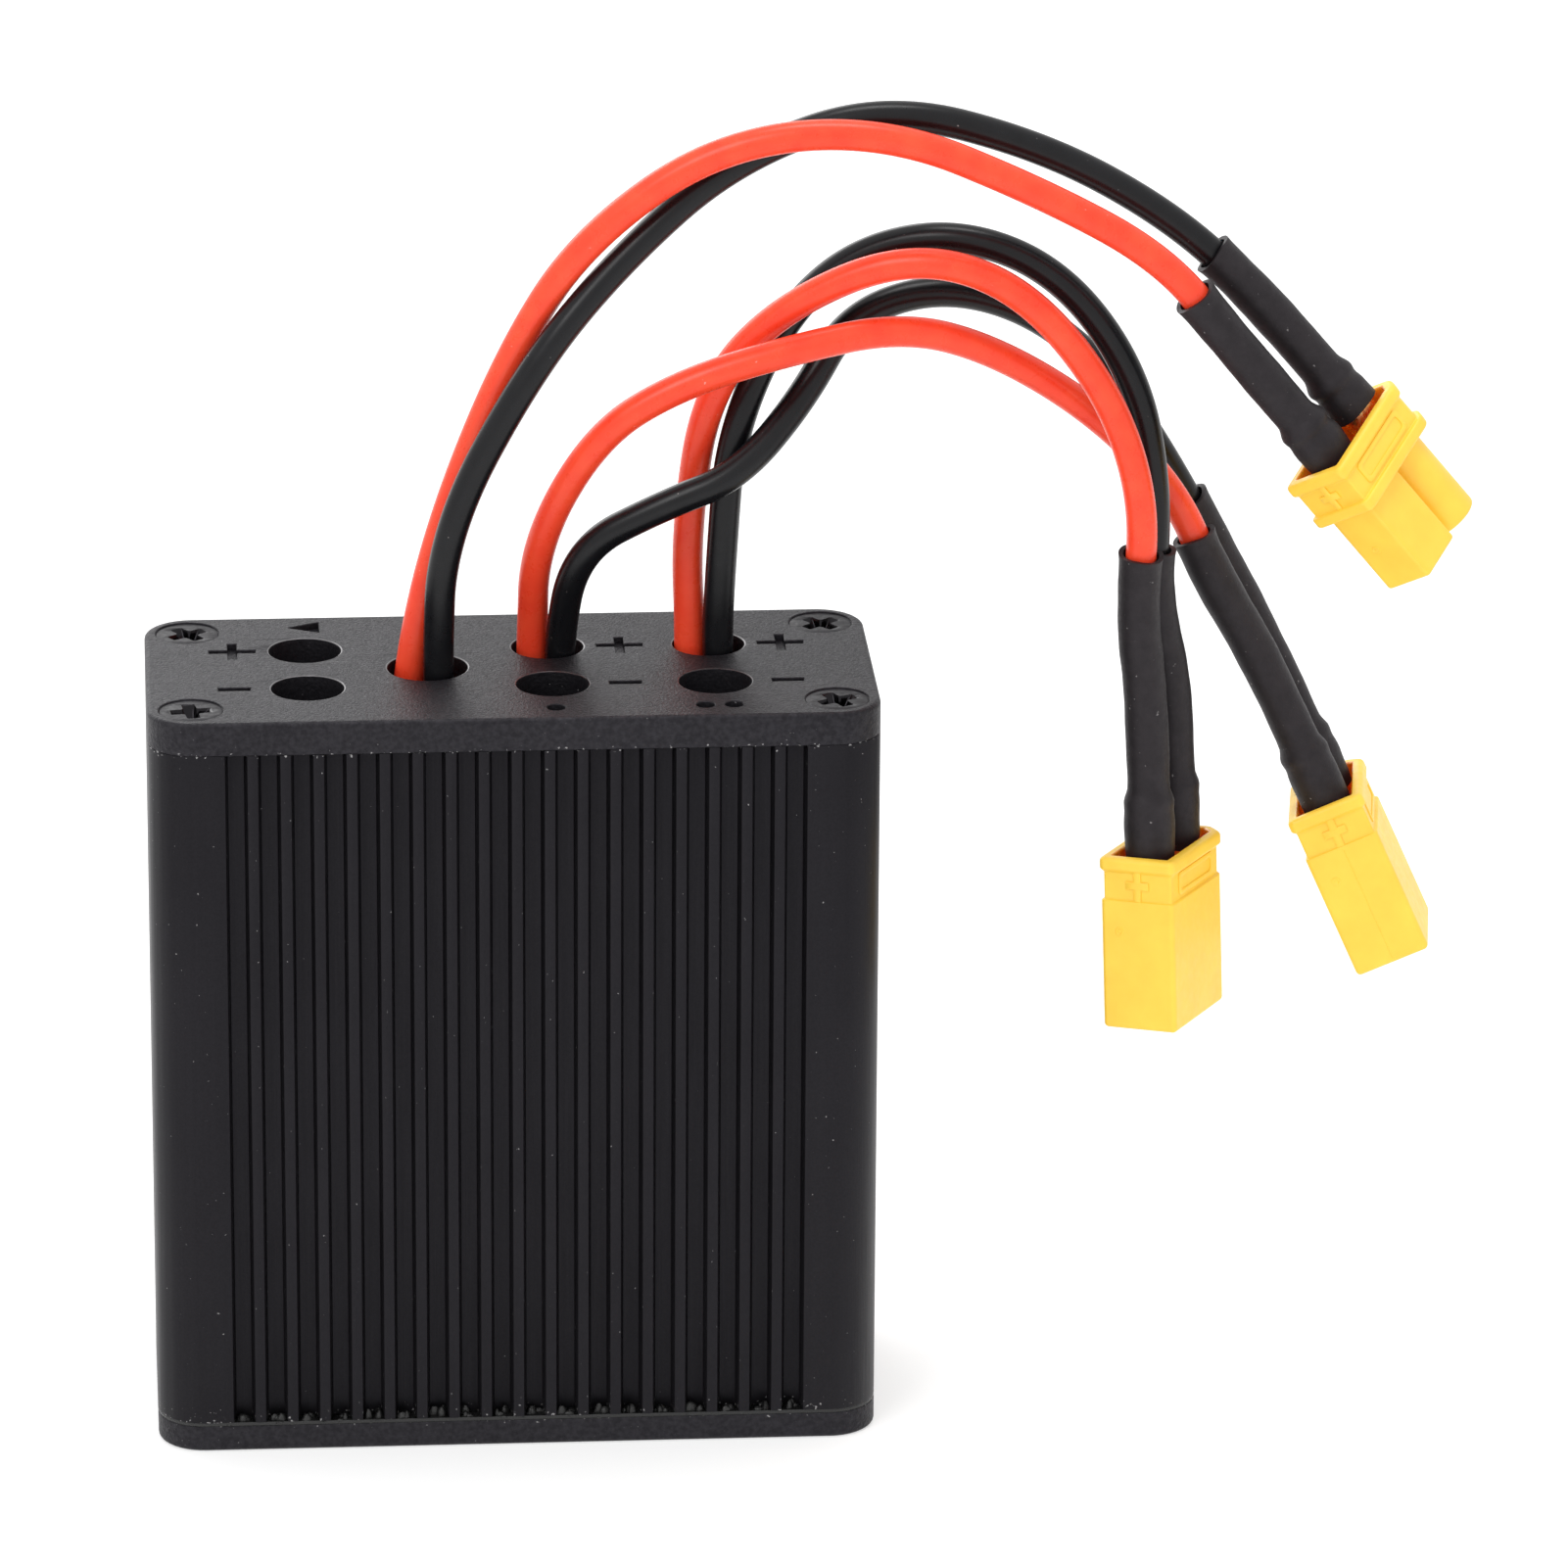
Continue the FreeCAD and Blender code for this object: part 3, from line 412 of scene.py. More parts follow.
# ---------------------------------------------------------------- mesh building
class Shape:
    """One piece's points, in millimetres, and its faces, built ring by ring."""

    def __init__(self):
        self.points = []
        self.faces = []
        self.looks = []

    def ring(self, points):
        start = len(self.points)
        self.points += [Vector(p) for p in points]
        return list(range(start, len(self.points)))

    def face(self, corners, look=0):
        self.faces.append(tuple(corners))
        self.looks.append(look)

    def bridge(self, first, second, look=0):
        count = len(first)
        for i in range(count):
            j = (i + 1) % count
            self.face((first[i], first[j], second[j], second[i]), look)

    def fill(self, rings, look=0):
        """A flat face inside the first ring, with the other rings as its holes."""
        order = [i for ring in rings for i in ring]
        for triangle in tessellate_polygon([[self.points[i] for i in ring] for ring in rings]):
            self.face((order[k] for k in triangle), look)

    def loft(self, sections, look=0):
        """Joins rings of equal count, and returns the first and the last."""
        rings = [self.ring(section) for section in sections]
        for first, second in zip(rings, rings[1:]):
            self.bridge(first, second, look)
        return rings[0], rings[-1]

    def solid(self, sections, look=0):
        """A loft that is closed at both ends."""
        first, last = self.loft(sections, look)
        self.fill([first], look)
        self.fill([last], look)

    def piece(self, name, materials, slot, replaced, sharp=35, weighted=True):
        mesh = bpy.data.meshes.new(name)
        mesh.from_pydata([p * MM for p in self.points], [], self.faces)
        for material in materials:
            mesh.materials.append(material)
        mesh.polygons.foreach_set("material_index", self.looks)
        tidy = bmesh.new()
        tidy.from_mesh(mesh)
        bmesh.ops.recalc_face_normals(tidy, faces=tidy.faces)
        tidy.to_mesh(mesh)
        tidy.free()
        mesh.polygons.foreach_set("use_smooth", [True] * len(mesh.polygons))
        mesh.set_sharp_from_angle(angle=math.radians(sharp))
        obj = bpy.data.objects.new(name, mesh)
        bpy.context.scene.collection.objects.link(obj)
        if weighted:
            modifier = obj.modifiers.new("weighted", "WEIGHTED_NORMAL")
            modifier.keep_sharp = True
        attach(obj, "root")
        for node in replaced:
            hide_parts(node)
        return obj


def rounded(corners, radius, steps=5, closed=True):
    """A flat outline, or an open line, whose corners are arcs. A corner may have its own
    radius as a third number."""
    count = len(corners)
    line = []
    for i, (x, y, *own) in enumerate(corners):
        r = own[0] if own else radius
        corner = Vector((x, y))
        if r == 0 or not closed and i in (0, count - 1):
            line.append(corner)
            continue
        before = Vector(corners[i - 1][:2])
        after = Vector(corners[(i + 1) % count][:2])
        back, ahead = (before - corner).normalized(), (after - corner).normalized()
        half = back.angle(ahead) / 2
        centre = corner + (back + ahead).normalized() * (r / math.sin(half))
        spoke = corner + back * (r / math.tan(half)) - centre
        turn = math.copysign(math.pi - 2 * half, back.y * ahead.x - back.x * ahead.y)
        line += [centre + Matrix.Rotation(turn * k / steps, 2) @ spoke for k in range(steps + 1)]
    return line


def at_height(outline, z):
    return [(p[0], p[1], z) for p in outline]


def circle(radius, centre=(0.0, 0.0), count=40):
    angles = [2 * math.pi * i / count for i in range(count)]
    return [Vector((centre[0] + radius * math.cos(a), centre[1] + radius * math.sin(a))) for a in angles]


def box_outline(width, depth, radius, centre=(0.0, 0.0), steps=5):
    w, d = width / 2, depth / 2
    corners = [(w, d), (-w, d), (-w, -d), (w, -d)]
    return [p + Vector(centre) for p in rounded(corners, radius, steps)]


def cross_outline(span_x, span_y, width, radius, inner, centre=(0.0, 0.0)):
    """A plus sign: radius rounds its ends and inner rounds the corners between its arms."""
    x, y, w = span_x / 2, span_y / 2, width / 2
    quarter = [(x, w, radius), (w, w, inner), (w, y, radius)]
    corners = quarter + [(-a, b, r) for a, b, r in reversed(quarter)]
    corners += [(-a, -b, r) for a, b, r in quarter] + [(a, -b, r) for a, b, r in reversed(quarter)]
    return [p + Vector(centre) for p in rounded(corners, radius, 3)]


def resampled(outline, count):
    """The same closed outline with evenly spaced points."""
    closed = outline + outline[:1]
    gaps = [(b - a).length for a, b in zip(closed, closed[1:])]
    step = sum(gaps) / count
    line, i, passed = [], 0, 0.0
    for k in range(count):
        while passed + gaps[i] < k * step:
            passed += gaps[i]
            i += 1
        line.append(closed[i].lerp(closed[i + 1], (k * step - passed) / gaps[i]))
    return line


def relaxed(outline, passes):
    """The outline with each point drawn towards its neighbours, which rounds its corners."""
    for _ in range(passes):
        ahead = outline[1:] + outline[:1]
        behind = outline[-1:] + outline[:-1]
        outline = [p / 2 + (a + b) / 4 for p, a, b in zip(outline, ahead, behind)]
    return outline


def inset(outline, distance):
    """An anticlockwise outline moved inwards."""
    ahead = outline[1:] + outline[:1]
    behind = outline[-1:] + outline[:-1]
    moved = []
    for p, a, b in zip(outline, ahead, behind):
        way = (a - b).normalized()
        moved.append(p + Vector((-way.y, way.x)) * distance)
    return moved


def smooth_step(value):
    t = min(max(value, 0.0), 1.0)
    return t * t * (3 - 2 * t)


# ---------------------------------------------------------------- end plates and screws
def plate_outline(step):
    return box_outline(CASE_W - 2 * step, CASE_D - 2 * step, CORNER_R - step, steps=12)


def plate_holes():
    """The top plate's wire holes: centre and radius."""
    holes = [((COM_X, 0.0), COM_HOLE_R)]
    for x in (OUT_X, A_X, B_X):
        holes += [((x, ROW_Y), WIRE_HOLE_R), ((x, -ROW_Y), WIRE_HOLE_R)]
    return holes


def mark_outlines(grow):
    """The outlines of the engraved marks, each made larger by grow all round."""
    outlines = []
    for x in (OUT_X - MARK_GAP, A_X + MARK_GAP, B_X + MARK_GAP):
        span, width = PLUS_SPAN + 2 * grow, MARK_W + 2 * grow
        outlines.append(cross_outline(span, span, width, 0.06, 0.06, (x, ROW_Y)))
        outlines.append(box_outline(MINUS_SPAN + 2 * grow, width, 0.06, (x, -ROW_Y)))
    for x, y in ((A_X, -LABEL_Y), (B_X - 1.5 * MARK_W, -LABEL_Y), (B_X + 1.5 * MARK_W, -LABEL_Y)):
        outlines.append(circle(MARK_W + grow, (x, y), 24))
    half = LABEL_SPAN / 2
    arrow = [(OUT_X + half, LABEL_Y + half), (OUT_X - half, LABEL_Y), (OUT_X + half, LABEL_Y - half)]
    outlines.append(inset(rounded(arrow, 0.08), -grow))
    outlines.append(circle(half + grow, (COM_X, LABEL_Y), 32))
    return outlines


def engrave(shape, top):
    """Cuts the marks, and returns their rings in the top face."""
    rims = []
    steps = [mark_outlines(grow) for grow in (0.06, 0.0, -0.03)]
    heights = (top, top - 0.06, top - MARK_DEPTH)
    for outlines in zip(*steps):
        rim, floor = shape.loft([at_height(o, z) for o, z in zip(outlines, heights)])
        rims.append(rim)
        shape.fill([floor])
    return rims


def ring_island(shape, top):
    """The part of the plate that stands inside the engraved ring."""
    radius = LABEL_SPAN / 2 - MARK_W
    sections = [(radius, top - MARK_DEPTH), (radius, top - 0.05), (radius - 0.05, top)]
    shape.solid([at_height(circle(r, (COM_X, LABEL_Y), 24), z) for r, z in sections])


def through_hole(shape, centre, profile, look=0):
    """A round hole along a profile of (radius, z), and its first and last rings."""
    return shape.loft([at_height(circle(r, centre), z) for r, z in profile], look)


def screw_places():
    return [(sx, sy, (sx * SCREW_X, sy * SCREW_Y)) for sx in (-1, 1) for sy in (-1, 1)]


def seat_profile(outside, inward, thickness):
    port = SCREW_D / 2 + 0.02
    steps = [(SEAT_R + 0.06, 0.0), (SEAT_R, 0.05), (SEAT_R, 0.12), (port, SEAT_R - port + 0.12),
             (port, thickness)]
    return [(r, outside + inward * depth) for r, depth in steps]


def end_plate(name, outside, inward, thickness, materials, has_holes):
    """A plate whose outer face is at outside, with soft edges, seats, holes and marks."""
    shape = Shape()
    edge = rounded([(PLATE_EDGE_R + 0.3, 0.0), (0.0, 0.0), (0.0, thickness), (0.3, thickness)],
                   PLATE_EDGE_R, 4, closed=False)
    edge = edge[1:6] + [Vector((0.0, thickness - 0.05)), Vector((0.05, thickness))]
    sections = [at_height(plate_outline(step), outside + inward * depth) for step, depth in edge]
    outer, inner = shape.loft(sections)
    outer_rings, inner_rings = [outer], [inner]
    holes = [(centre, seat_profile(outside, inward, thickness), 0)
             for _, _, centre in screw_places()]
    if has_holes:
        for centre, radius in plate_holes():
            rim = [(radius + 0.11, 0.0), (radius + 0.02, 0.05), (radius, 0.13), (radius, thickness)]
            # the wire holes' rims take the second look, the painted highlight
            holes.append((centre, [(r, outside + inward * d) for r, d in rim], 1))
        outer_rings += engrave(shape, outside)
        ring_island(shape, outside)
    for centre, profile, edge_look in holes:
        mouth, _ = through_hole(shape, centre, profile[:2], edge_look)
        _, end = through_hole(shape, centre, profile[1:])
        outer_rings.append(mouth)
        inner_rings.append(end)
    shape.fill(outer_rings)
    shape.fill(inner_rings)
    return shape.piece(f"{name}_shell", [materials["plate"], materials["rim_highlight"]], "plate", [name])


def recess_outline(share, turn, centre):
    span, width = RECESS_SPAN * share, RECESS_W * (0.35 + 0.65 * share)
    outline = cross_outline(span, span, width, 0.16 * share, 0.22 * share)
    spin = Matrix.Rotation(math.radians(turn), 2)
    return [spin @ p + Vector(centre) for p in outline]


def add_screw(shape, centre, turn, outside, inward):
    """A countersunk screw with a cross recess and a threaded shank."""
    top = HEAD_SINK
    head = [(HEAD_R - 0.12, top), (HEAD_R - 0.03, top + 0.03), (HEAD_R, top + 0.1),
            (SCREW_D / 2 - 0.05, top + 0.1 + HEAD_R - SCREW_D / 2)]
    turns = int((SCREW_LENGTH - head[-1][1]) / THREAD_PITCH) - 1
    for i in range(turns):
        z = head[3][1] + (i + 0.5) * THREAD_PITCH
        head += [(SCREW_D / 2 - 0.25, z), (SCREW_D / 2, z + THREAD_PITCH / 2)]
    head.append((SCREW_D / 2 - 0.4, SCREW_LENGTH))
    profile = [(r, outside + inward * depth) for r, depth in head]
    rim, tip = through_hole(shape, centre, profile)
    steps = [(1.03, 0.0), (0.98, 0.05), (0.72, 0.5), (0.45, RECESS_DEPTH)]
    sections = [at_height(recess_outline(share, turn, centre), outside + inward * (top + depth))
                for share, depth in steps]
    mouth, floor = shape.loft(sections, 1)
    shape.fill([rim, mouth])
    shape.fill([floor], 1)
    shape.fill([tip])


def make_screws(name, outside, inward, materials):
    shape = Shape()
    for sx, sy, centre in screw_places():
        add_screw(shape, centre, SCREW_TURNS[(sx, sy)], outside, inward)
    shape.piece(f"{name}_detailed", [materials["screw"], materials["recess"]], "screw", [name], 40)


# ---------------------------------------------------------------- sealant at the lower joint
def add_lump(shape, centre, size, draw):
    """A drop of set sealant: a bumpy dome that sinks into what it lies on."""
    around, rows = 10, 5
    wobble = [draw.uniform(0.8, 1.2) for _ in range(around)]
    sections = []
    for row in range(rows):
        lean = math.pi * (row + 0.6) / (rows + 0.2)
        ring = []
        for k, w in enumerate(wobble):
            a = 2 * math.pi * k / around
            r = math.sin(lean) * (w + 0.12 * math.sin(3 * a + row))
            ring.append((centre[0] + size[0] * r * math.cos(a), centre[1] + size[1] * r * math.sin(a),
                         centre[2] + size[2] * math.cos(lean)))
        sections.append(ring)
    shape.solid(sections)


def make_sealant(materials):
    """A thin frame of sealant in the lower joint, squeezed out into the foot of each groove."""
    draw = random.Random(7)
    shape = Shape()
    low, high = BOTTOM_T, BOTTOM_T + GASKET_T
    profile = [(0.06, low), (0.02, low + 0.1), (0.03, high - 0.1), (0.07, high), (1.6, high), (1.6, low)]
    rings = [shape.ring(at_height(plate_outline(step), z)) for step, z in profile]
    for first, second in zip(rings, rings[1:] + rings[:1]):
        shape.bridge(first, second)
    for face in (-1, 1):
        for i in range(GROOVES):
            x = (i - (GROOVES - 1) / 2) * RIB_PITCH
            for _ in range(3):
                across = x + draw.uniform(-0.45, 0.45)
                depth = CASE_D / 2 - draw.uniform(0.35, GROOVE_DEPTH - 0.2)
                size = (draw.uniform(0.25, 0.5), draw.uniform(0.2, 0.35), draw.uniform(0.2, 0.75))
                add_lump(shape, (across, face * depth, high), size, draw)
        for _ in range(26):
            place = (draw.uniform(-22, 22), face * (CASE_D / 2 - 0.1), draw.uniform(low, high))
            add_lump(shape, place, (draw.uniform(0.1, 0.3), 0.12, draw.uniform(0.05, 0.13)), draw)
    shape.piece("sealant_squeezed_out", [materials["sealant"]], "gasket", ["bottom_gasket"], 60, False)


# ---------------------------------------------------------------- connectors
def connector_frame(name):
    """A connector's rear centre, the way it points, and the way to its plus contact."""
    place = CONNECTORS[name]
    axis = Vector(place["axis"]).normalized()
    plus = Vector(place["plus"])
    return Vector(place["rear"]), axis, (plus - axis * plus.dot(axis)).normalized()


def housing_ring(step, z):
    """The housing's outline, step inside the flange's: square at plus, cut corners at minus."""
    w, l = FLANGE_W / 2 - step, FLANGE_L / 2 - step
    cut = CHAMFER - step * (2 - math.sqrt(2))
    corners = [(w, l), (-w, l), (-w, cut - l), (cut - w, -l), (w - cut, -l), (w, cut - l)]
    square, slanted = max(0.5 - step, 0.16), max(0.95 - step, 0.3)
    radii = (square, square, slanted, slanted, slanted, slanted)
    return at_height(rounded([(x, y, r) for (x, y), r in zip(corners, radii)], 0.0, 5), z)


def housing_loft(shape, profile):
    """Follows a profile of (step, z, radius); faces deep inside get the inner look, a deeper orange
    nylon that paints the shade inside the cavity.
    """
    line = rounded(profile, 0.0, 4, closed=False)
    rings = [shape.ring(housing_ring(step, z)) for step, z in line]
    for (first, a), (second, b) in zip(zip(rings, line), zip(rings[1:], line[1:])):
        shape.bridge(first, second, 1 if min(a.x, b.x) > MOUTH_IN - 0.05 else 0)
    return rings[0], rings[-1]


def rear_profile():
    return [(CAVITY_IN, REAR_DEPTH, 0), (CAVITY_IN, 0.0, 0.16), (0.0, 0.0, 0.38),
            (0.0, LIP, 0.22), (BAND_IN, LIP + 0.28, 0.15), (BAND_IN, BAND_END - 0.05, 0.08)]


def contact_places():
    return [(0.0, PITCH / 2), (0.0, -PITCH / 2)]


def add_bores(shape, profile):
    """A hole for each contact, along a profile of (radius, z)."""
    ends = [through_hole(shape, place, profile) for place in contact_places()]
    return [first for first, _ in ends], [last for _, last in ends]


def plug_shape():
    shape = Shape()
    profile = rear_profile() + [(SHELL_IN, BAND_END + 0.03, 0.12), (SHELL_IN, PLUG_LENGTH, 0.35),
                                (MOUTH_IN, PLUG_LENGTH, 0.12), (MOUTH_IN, PLUG_FLOOR, 0)]
    rear, front = housing_loft(shape, profile)
    at_rear, at_front = add_bores(shape, [(BORE_R, REAR_DEPTH), (BORE_R, PLUG_FLOOR)])
    # the faces inside the cavity take the second look, the painted shade
    shape.fill([rear] + at_rear, 1)
    shape.fill([front] + at_front, 1)
    add_rear_marks(shape)
    add_gate_spot(shape, FLANGE_L / 2 - SHELL_IN, (-1.45, BAND_END + 2.4))
    return shape


def nose_outline():
    """The square plus lobe and the round minus lobe, with a soft valley between them."""
    half, neck, centre = NOSE_W / 2, NECK_W / 2, PITCH / 2
    spread = math.pi / 2 + math.asin(neck / half)
    arc = [spread + 2 * (math.pi - spread + math.pi / 2) * k / 40 for k in range(41)]
    line = [Vector(p) for p in ((half, centre), (half, centre + half), (-half, centre + half),
                                (-half, centre - half), (-neck, centre - half))]
    line += [Vector((half * math.cos(a), half * math.sin(a) - centre)) for a in arc]
    line += [Vector((neck, centre - half)), Vector((half, centre - half))]
    return relaxed(resampled(line, 150), 2)


def socket_shape():
    shape = Shape()
    profile = rear_profile() + [(-0.06, BAND_END - 0.02, 0.2), (-0.06, SOCKET_REAR, 0.28),
                                (1.0, SOCKET_REAR, 0)]
    rear, shoulder = housing_loft(shape, profile)
    nose = nose_outline()
    edge = rounded([(0.0, SOCKET_REAR), (0.0, SOCKET_LENGTH), (0.6, SOCKET_LENGTH)], 0.28, 4,
                   closed=False)
    root, tip = shape.loft([at_height(inset(nose, step), z) for step, z in edge[:-1]])
    bore = [(BORE_R, REAR_DEPTH), (BORE_R, SOCKET_LENGTH - MOUTH_T), (MOUTH_R, SOCKET_LENGTH - MOUTH_T),
            (MOUTH_R, SOCKET_LENGTH - 0.12), (MOUTH_R + 0.12, SOCKET_LENGTH)]
    at_rear, at_mouth = add_bores(shape, bore)
    # the faces inside the cavity take the second look, the painted shade
    shape.fill([rear] + at_rear, 1)
    shape.fill([shoulder, root])
    shape.fill([tip] + at_mouth)
    add_rear_marks(shape)
    add_gate_spot(shape, PITCH / 2 + NOSE_W / 2, (-0.4, SOCKET_REAR + 3.6))
    return shape


def add_relief(shape, outlines, to_space):
    """A closed raised shape from (outline, height) steps; to_space places each point."""
    shape.solid([[to_space(p, height) for p in outline] for outline, height in outlines])


def add_rear_marks(shape):
    """A raised plus on the band's plus end, and a thin raised frame on each long side."""
    end, side = FLANGE_L / 2 - BAND_IN, FLANGE_W / 2 - BAND_IN
    middle = (LIP + BAND_END) / 2
    steps = [(0.0, -0.05), (0.0, 0.1), (0.07, 0.16)]
    plus = [(cross_outline(1.85 - 2 * s, 2.5 - 2 * s, 0.6 - 2 * s, 0.04, 0.05), h) for s, h in steps]
    add_relief(shape, plus, lambda p, h: (p.x, end + h, middle + p.y))
    sizes = [(6.6, 1.75, -0.05), (6.6, 1.75, 0.07), (6.45, 1.6, 0.11), (6.05, 1.2, 0.11),
             (5.9, 1.05, 0.07), (5.9, 1.05, -0.05)]
    for way in (-1, 1):
        rings = []
        for length, height, stand in sizes:
            outline = box_outline(length, height, 0.35)
            rings.append(shape.ring([(way * (side + stand), p.x + 0.4, middle + p.y) for p in outline]))
        for first, second in zip(rings, rings[1:] + rings[:1]):
            shape.bridge(first, second)


def add_gate_spot(shape, end, place):
    """The small round scar that the mould's gate leaves on the plus end."""
    steps = [(0.36, -0.05), (0.34, 0.03), (0.24, 0.06), (0.17, 0.02), (0.08, 0.05)]
    outlines = [(circle(r, place, 20), h) for r, h in steps]
    add_relief(shape, outlines, lambda p, h: (p.x, end + h, p.y))


def add_mould_line(shape, end):
    """A faint raised line down the middle of the plus end."""
    steps = [(0.1, -0.04), (0.1, 0.0), (0.03, 0.03)]
    length = PLUG_LENGTH - BAND_END - 0.7
    middle = (0.1, (PLUG_LENGTH + BAND_END) / 2)
    outlines = [(box_outline(w, length + w, w / 2.2, middle, 2), h) for w, h in steps]
    add_relief(shape, outlines, lambda p, h: (p.x, end + h, p.y))


def make_housings(materials):
    pieces = {}
    for name, place in CONNECTORS.items():
        shape = plug_shape() if place["kind"] == "plug" else socket_shape()
        if name == "a":
            add_mould_line(shape, FLANGE_L / 2 - SHELL_IN)
        rear, axis, plus = connector_frame(name)
        turn = Matrix((plus.cross(axis), plus, axis)).transposed()
        shape.points = [rear + turn @ p for p in shape.points]
        node = f"{name}_{place['kind']}_housing"
        # the second look is the painted shade inside the cavities
        looks = [materials["housing"], materials["housing_painted_shade"]]
        pieces[name] = shape.piece(f"{node}_moulded", looks, "housing", [node], 38)
    return pieces


# ---------------------------------------------------------------- leads and sleeves
def contact_point(lead):
    """Where the lead's contact crosses its connector's rear face, and the way it points."""
    name, colour = lead.split("_")
    rear, axis, plus = connector_frame(name)
    return rear + plus * ((1 if colour == "red" else -1) * PITCH / 2), axis


def lead_points(lead):
    crossing, axis = contact_point(lead)
    end = crossing - axis * CUP_LENGTH
    return [Vector(p) for p in ROUTES[lead]] + [end - axis * LAST_RUN, end]


def nurbs(name, points, diameter):
    """A smooth tube whose control points are the route's points."""
    curve = bpy.data.curves.new(name, "CURVE")
    curve.dimensions = "3D"
    spline = curve.splines.new("NURBS")
    spline.points.add(len(points) - 1)
    for place, point in zip(spline.points, points):
        place.co = (*(point * MM), 1.0)
    spline.order_u = 3
    spline.use_endpoint_u = True
    spline.resolution_u = 16
    curve.bevel_depth = diameter / 2 * MM
    curve.bevel_resolution = 8
    curve.use_fill_caps = diameter > 0
    piece = bpy.data.objects.new(name, curve)
    bpy.context.scene.collection.objects.link(piece)
    return piece


def centreline(lead):
    """The lead's line, read from its spline."""
    guide = nurbs(f"{lead}_guide", lead_points(lead), 0.0)
    line = bpy.data.meshes.new_from_object(guide)
    points = [v.co / MM for v in line.vertices]
    curve = guide.data
    bpy.data.objects.remove(guide)
    bpy.data.curves.remove(curve)
    bpy.data.meshes.remove(line)
    return points


def sleeve_line(lead):
    """The sleeve's line: from where it starts on the lead to its end in the connector."""
    points = lead_points(lead)
    run = SLEEVE_RUN[lead.split("_")[0]]
    start = (points[-run - 1] + points[-run]) / 2
    line = centreline(lead)
    first = min(range(len(line)), key=lambda i: (line[i] - start).length)
    _, axis = contact_point(lead)
    length = CUP_LENGTH + SLEEVE_INSERT[lead]
    steps = 18
    return line[first:] + [points[-1] + axis * (length * (k + 1) / steps) for k in range(steps)]


def transported(line):
    """A point, two directions across and the way along, at each step of a line."""
    frames = []
    across = (line[1] - line[0]).orthogonal().normalized()
    for i, point in enumerate(line):
        way = (line[min(i + 1, len(line) - 1)] - line[max(i - 1, 0)]).normalized()
        across = (across - way * across.dot(way)).normalized()
        frames.append((point, across, way.cross(across), way))
    return frames


def sleeve_radius(passed, cup, total, angle, form):
    """How wide the shrunk sleeve is, cup being where the contact's cup starts: flared at
    its cut end, uneven, and wider over the cup."""
    phase, late, bumps, flare = form
    wide = cup + late
    radius = SLEEVE_R + (SLEEVE_CUP_R - SLEEVE_R) * smooth_step((passed - wide + 0.4) / 1.3)
    radius += 0.1 * math.exp(-passed / 0.5)
    radius += 0.018 * math.sin(0.9 * passed + phase) + 0.01 * math.sin(2.3 * passed + 2 * phase)
    radius += 0.02 * math.cos(2 * angle + 0.25 * passed + phase)
    for place, width, share in ((0.7, 0.45, 0.9), (1.5, 0.4, -1.3), (2.6, 0.7, 0.8), (-0.6, 0.5, -0.4)):
        swell = math.exp(-(((passed - wide - place) / width) ** 2))
        radius += bumps * share * swell * (0.7 + 0.3 * math.cos(angle + place + phase))
    end = smooth_step((passed - total + 1.2) / 1.2)
    return radius + (flare - 0.08) * end


def make_sleeve(lead, form, materials):
    around = 40
    frames = transported(sleeve_line(lead))
    passed = [0.0]
    for first, second in zip(frames, frames[1:]):
        passed.append(passed[-1] + (second[0] - first[0]).length)
    total = passed[-1]
    cup = total - CUP_LENGTH - SLEEVE_INSERT[lead]
    outer, inner = [], []
    for (point, across, over, way), here in zip(frames, passed):
        held = LEAD_D / 2 + (CUP_R - LEAD_D / 2) * smooth_step((here - cup + 0.7) / 0.5)
        cut = 0.14 * math.exp(-here / 0.3) + 0.12 * math.exp((here - total) / 0.3)
        rings = ([], [])
        for k in range(around):
            angle = 2 * math.pi * k / around
            spoke = across * math.cos(angle) + over * math.sin(angle)
            slant = way * (cut * math.cos(angle + form[0]) + 0.4 * cut * math.sin(3 * angle))
            radius = max(sleeve_radius(here, cup, total, angle, form), held + 0.12)
            rings[0].append(point + spoke * radius + slant)
            rings[1].append(point + spoke * max(radius - SLEEVE_WALL, held + 0.015) + slant)
        outer.append(rings[0])
        inner.append(rings[1])
    shape = Shape()
    first, last = shape.loft(outer + inner[::-1])
    shape.bridge(last, first)
    return shape.piece(f"{lead}_heat_shrink", [materials["sleeve"]], "sleeve",
                       [f"{lead}_sleeve"], 50, False)


def make_leads(materials, housings):
    for i, lead in enumerate(ROUTES):
        name, colour = lead.split("_")
        piece = nurbs(f"{lead}_wire", lead_points(lead), LEAD_D)
        piece.data.materials.append(materials[f"{colour}_wire"])
        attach(piece, "root")
        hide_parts(f"{lead}_lead")
        form = (1.7 * i + 0.6, *SLEEVE_FORMS[lead])
        on_cord = [make_sleeve(lead, form, materials)]
        if colour == "red":
            kind = CONNECTORS[name]["kind"]
            on_cord += [housings[name], NODES[f"{name}_{kind}_contacts"], NODES[f"{name}_lead_tips"]]


# ---------------------------------------------------------------- camera, light, floor
def make_camera():
    azimuth, elevation, roll = (math.radians(a) for a in (AZIMUTH, ELEVATION, ROLL))
    back = Vector((math.sin(azimuth) * math.cos(elevation), -math.cos(azimuth) * math.cos(elevation),
                   math.sin(elevation)))
    right = (-back).cross(Vector((0, 0, 1))).normalized()
    up = right.cross(-back)
    turned_right = right * math.cos(roll) + up * math.sin(roll)
    turned_up = up * math.cos(roll) - right * math.sin(roll)
    data = bpy.data.cameras.new("camera")
    data.lens = LENS
    data.sensor_width = SENSOR
    data.clip_start = 0.01
    camera = bpy.data.objects.new("camera", data)
    place = Matrix((turned_right, turned_up, back)).transposed().to_4x4()
    place.translation = (Vector(AIM) + back * DISTANCE) * MM
    camera.matrix_world = place
    bpy.context.scene.collection.objects.link(camera)
    bpy.context.scene.camera = camera


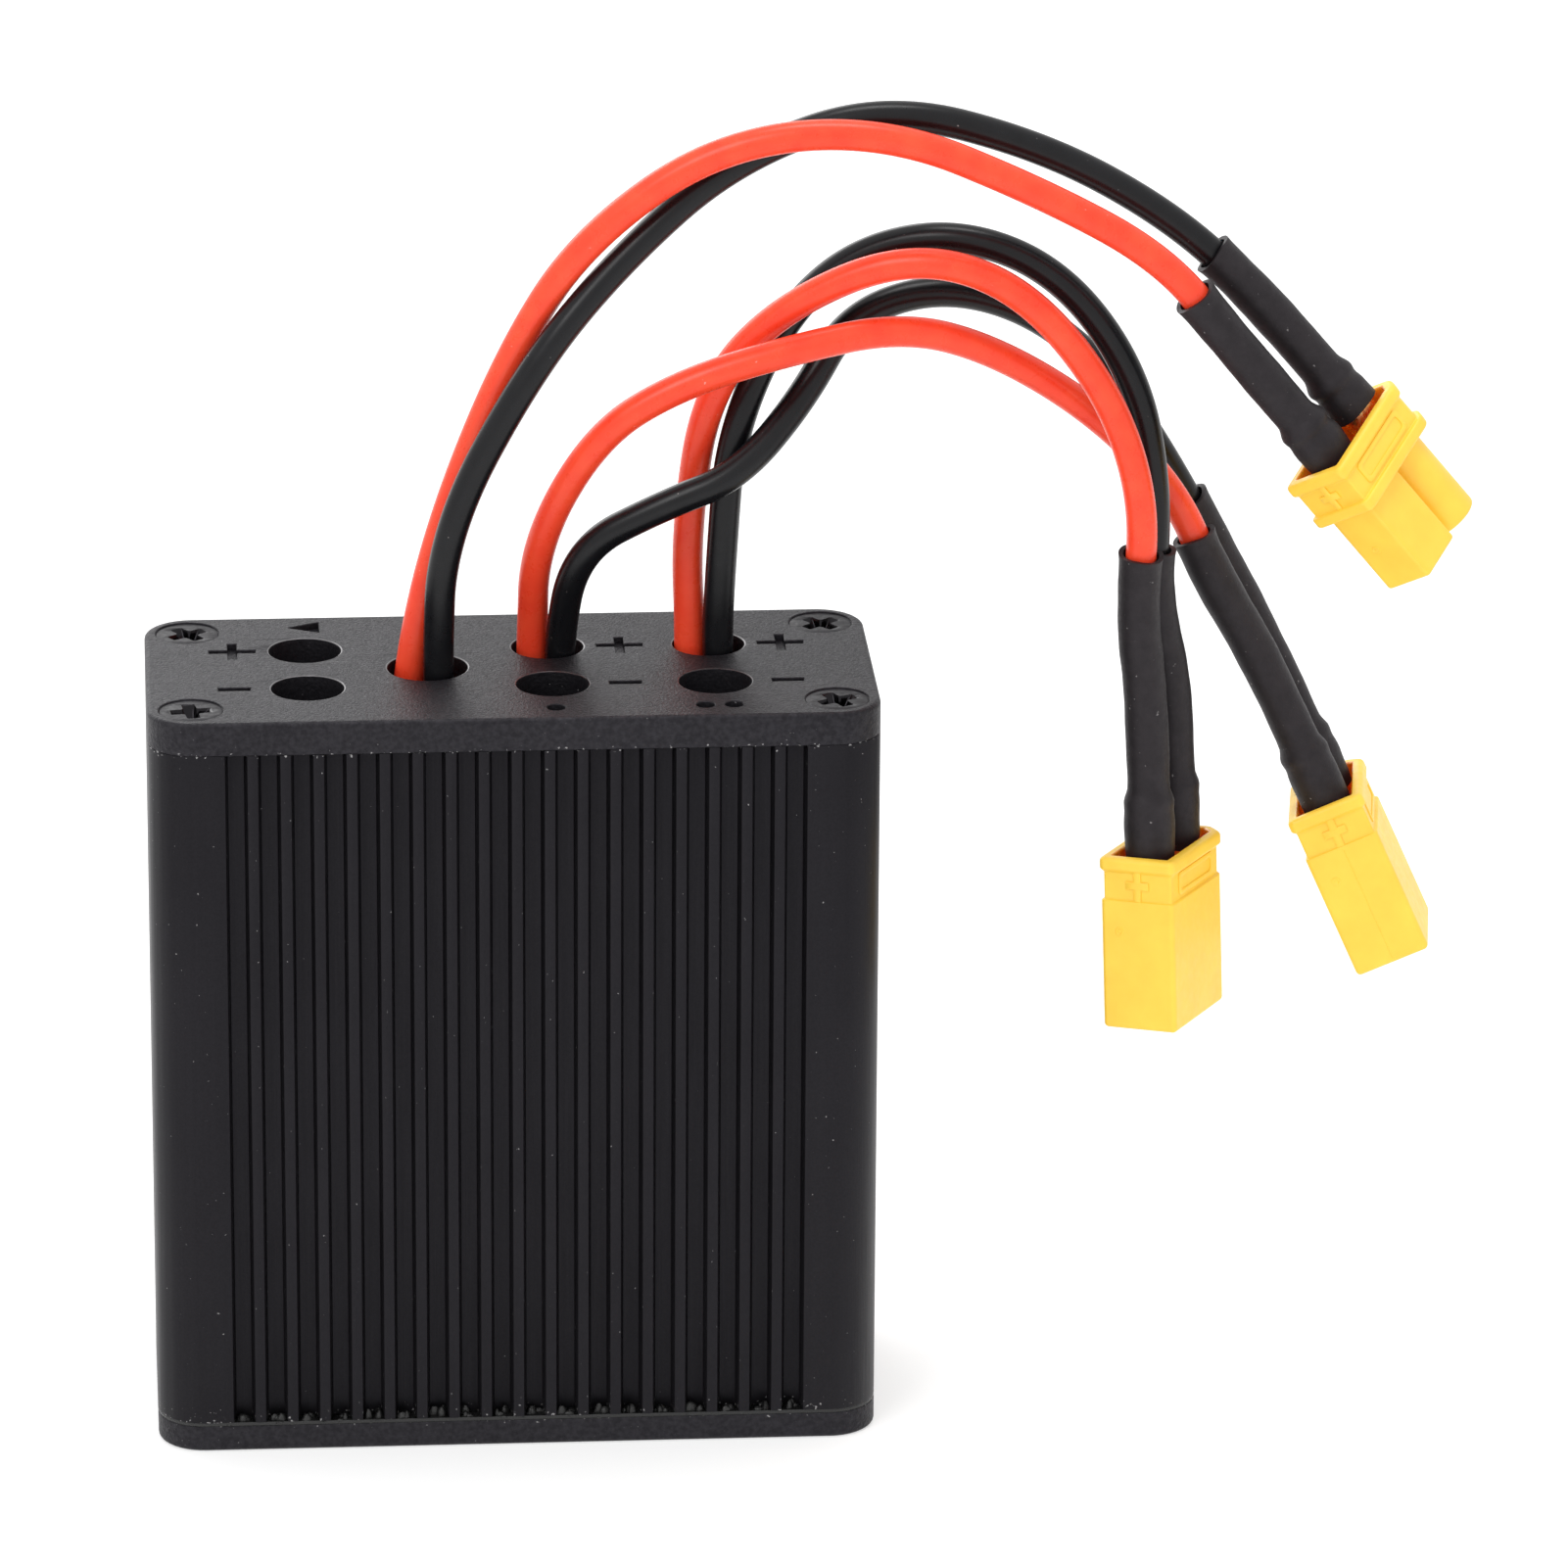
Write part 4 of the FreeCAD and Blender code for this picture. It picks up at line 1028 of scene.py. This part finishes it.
def make_light(name, place, target, size, power):
    data = bpy.data.lights.new(name, "AREA")
    data.shape = "RECTANGLE"
    data.size, data.size_y = size[0] * MM, size[1] * MM
    data.energy = power
    light = bpy.data.objects.new(name, data)
    light.location = Vector(place) * MM
    way = (Vector(target) - Vector(place)).normalized()
    light.rotation_euler = way.to_track_quat("-Z", "Y").to_euler()
    bpy.context.scene.collection.objects.link(light)


def make_stage():
    mesh = bpy.data.meshes.new("floor")
    half = 4.0
    corners = [(-half, -half, 0), (half, -half, 0), (half, half, 0), (-half, half, 0)]
    mesh.from_pydata(corners, [], [(0, 1, 2, 3)])
    floor = bpy.data.objects.new("floor", mesh)
    bpy.context.scene.collection.objects.link(floor)
    paper = Shader("floor_paper", (0.65, 0.65, 0.65), 0.8, Emission_Color=(1, 1, 1, 1),
                   Emission_Strength=0.45)
    paper.roughness(paper.ramp(paper.noise(0.05), [(0.3, 0.75), (0.7, 0.85)]))
    mesh.materials.append(paper.material)


def make_lights():
    world = bpy.data.worlds.new("studio")
    world.use_nodes = True
    background = world.node_tree.nodes["Background"]
    background.inputs["Color"].default_value = (1, 1, 1, 1)
    background.inputs["Strength"].default_value = 1.0
    bpy.context.scene.world = world
    bpy.context.scene.view_settings.view_transform = "Standard"
    make_light("key", (-250, -350, 500), (10, 0, 40), (240, 240), 0.9)
    make_light("top", (40, 60, 620), (20, 0, 50), (240, 160), 0.75)
    make_light("back", (-300, 700, 330), (0, 0, 55), (700, 320), 1.5)


def main():
    materials = make_materials()
    dress_nodes(materials)
    soften(NODES["case_extrusion"], 0.08)
    for name, node in NODES.items():
        if name.endswith("_contacts"):
            soften(node, 0.05)
    end_plate("top_end_plate", CASE_H, -1, TOP_T, materials, True)
    end_plate("bottom_end_plate", 0.0, 1, BOTTOM_T, materials, False)
    make_screws("top_plate_screws", CASE_H, -1, materials)
    make_screws("bottom_plate_screws", 0.0, 1, materials)
    make_sealant(materials)
    make_leads(materials, make_housings(materials))
    make_stage()
    make_lights()
    make_camera()


main()
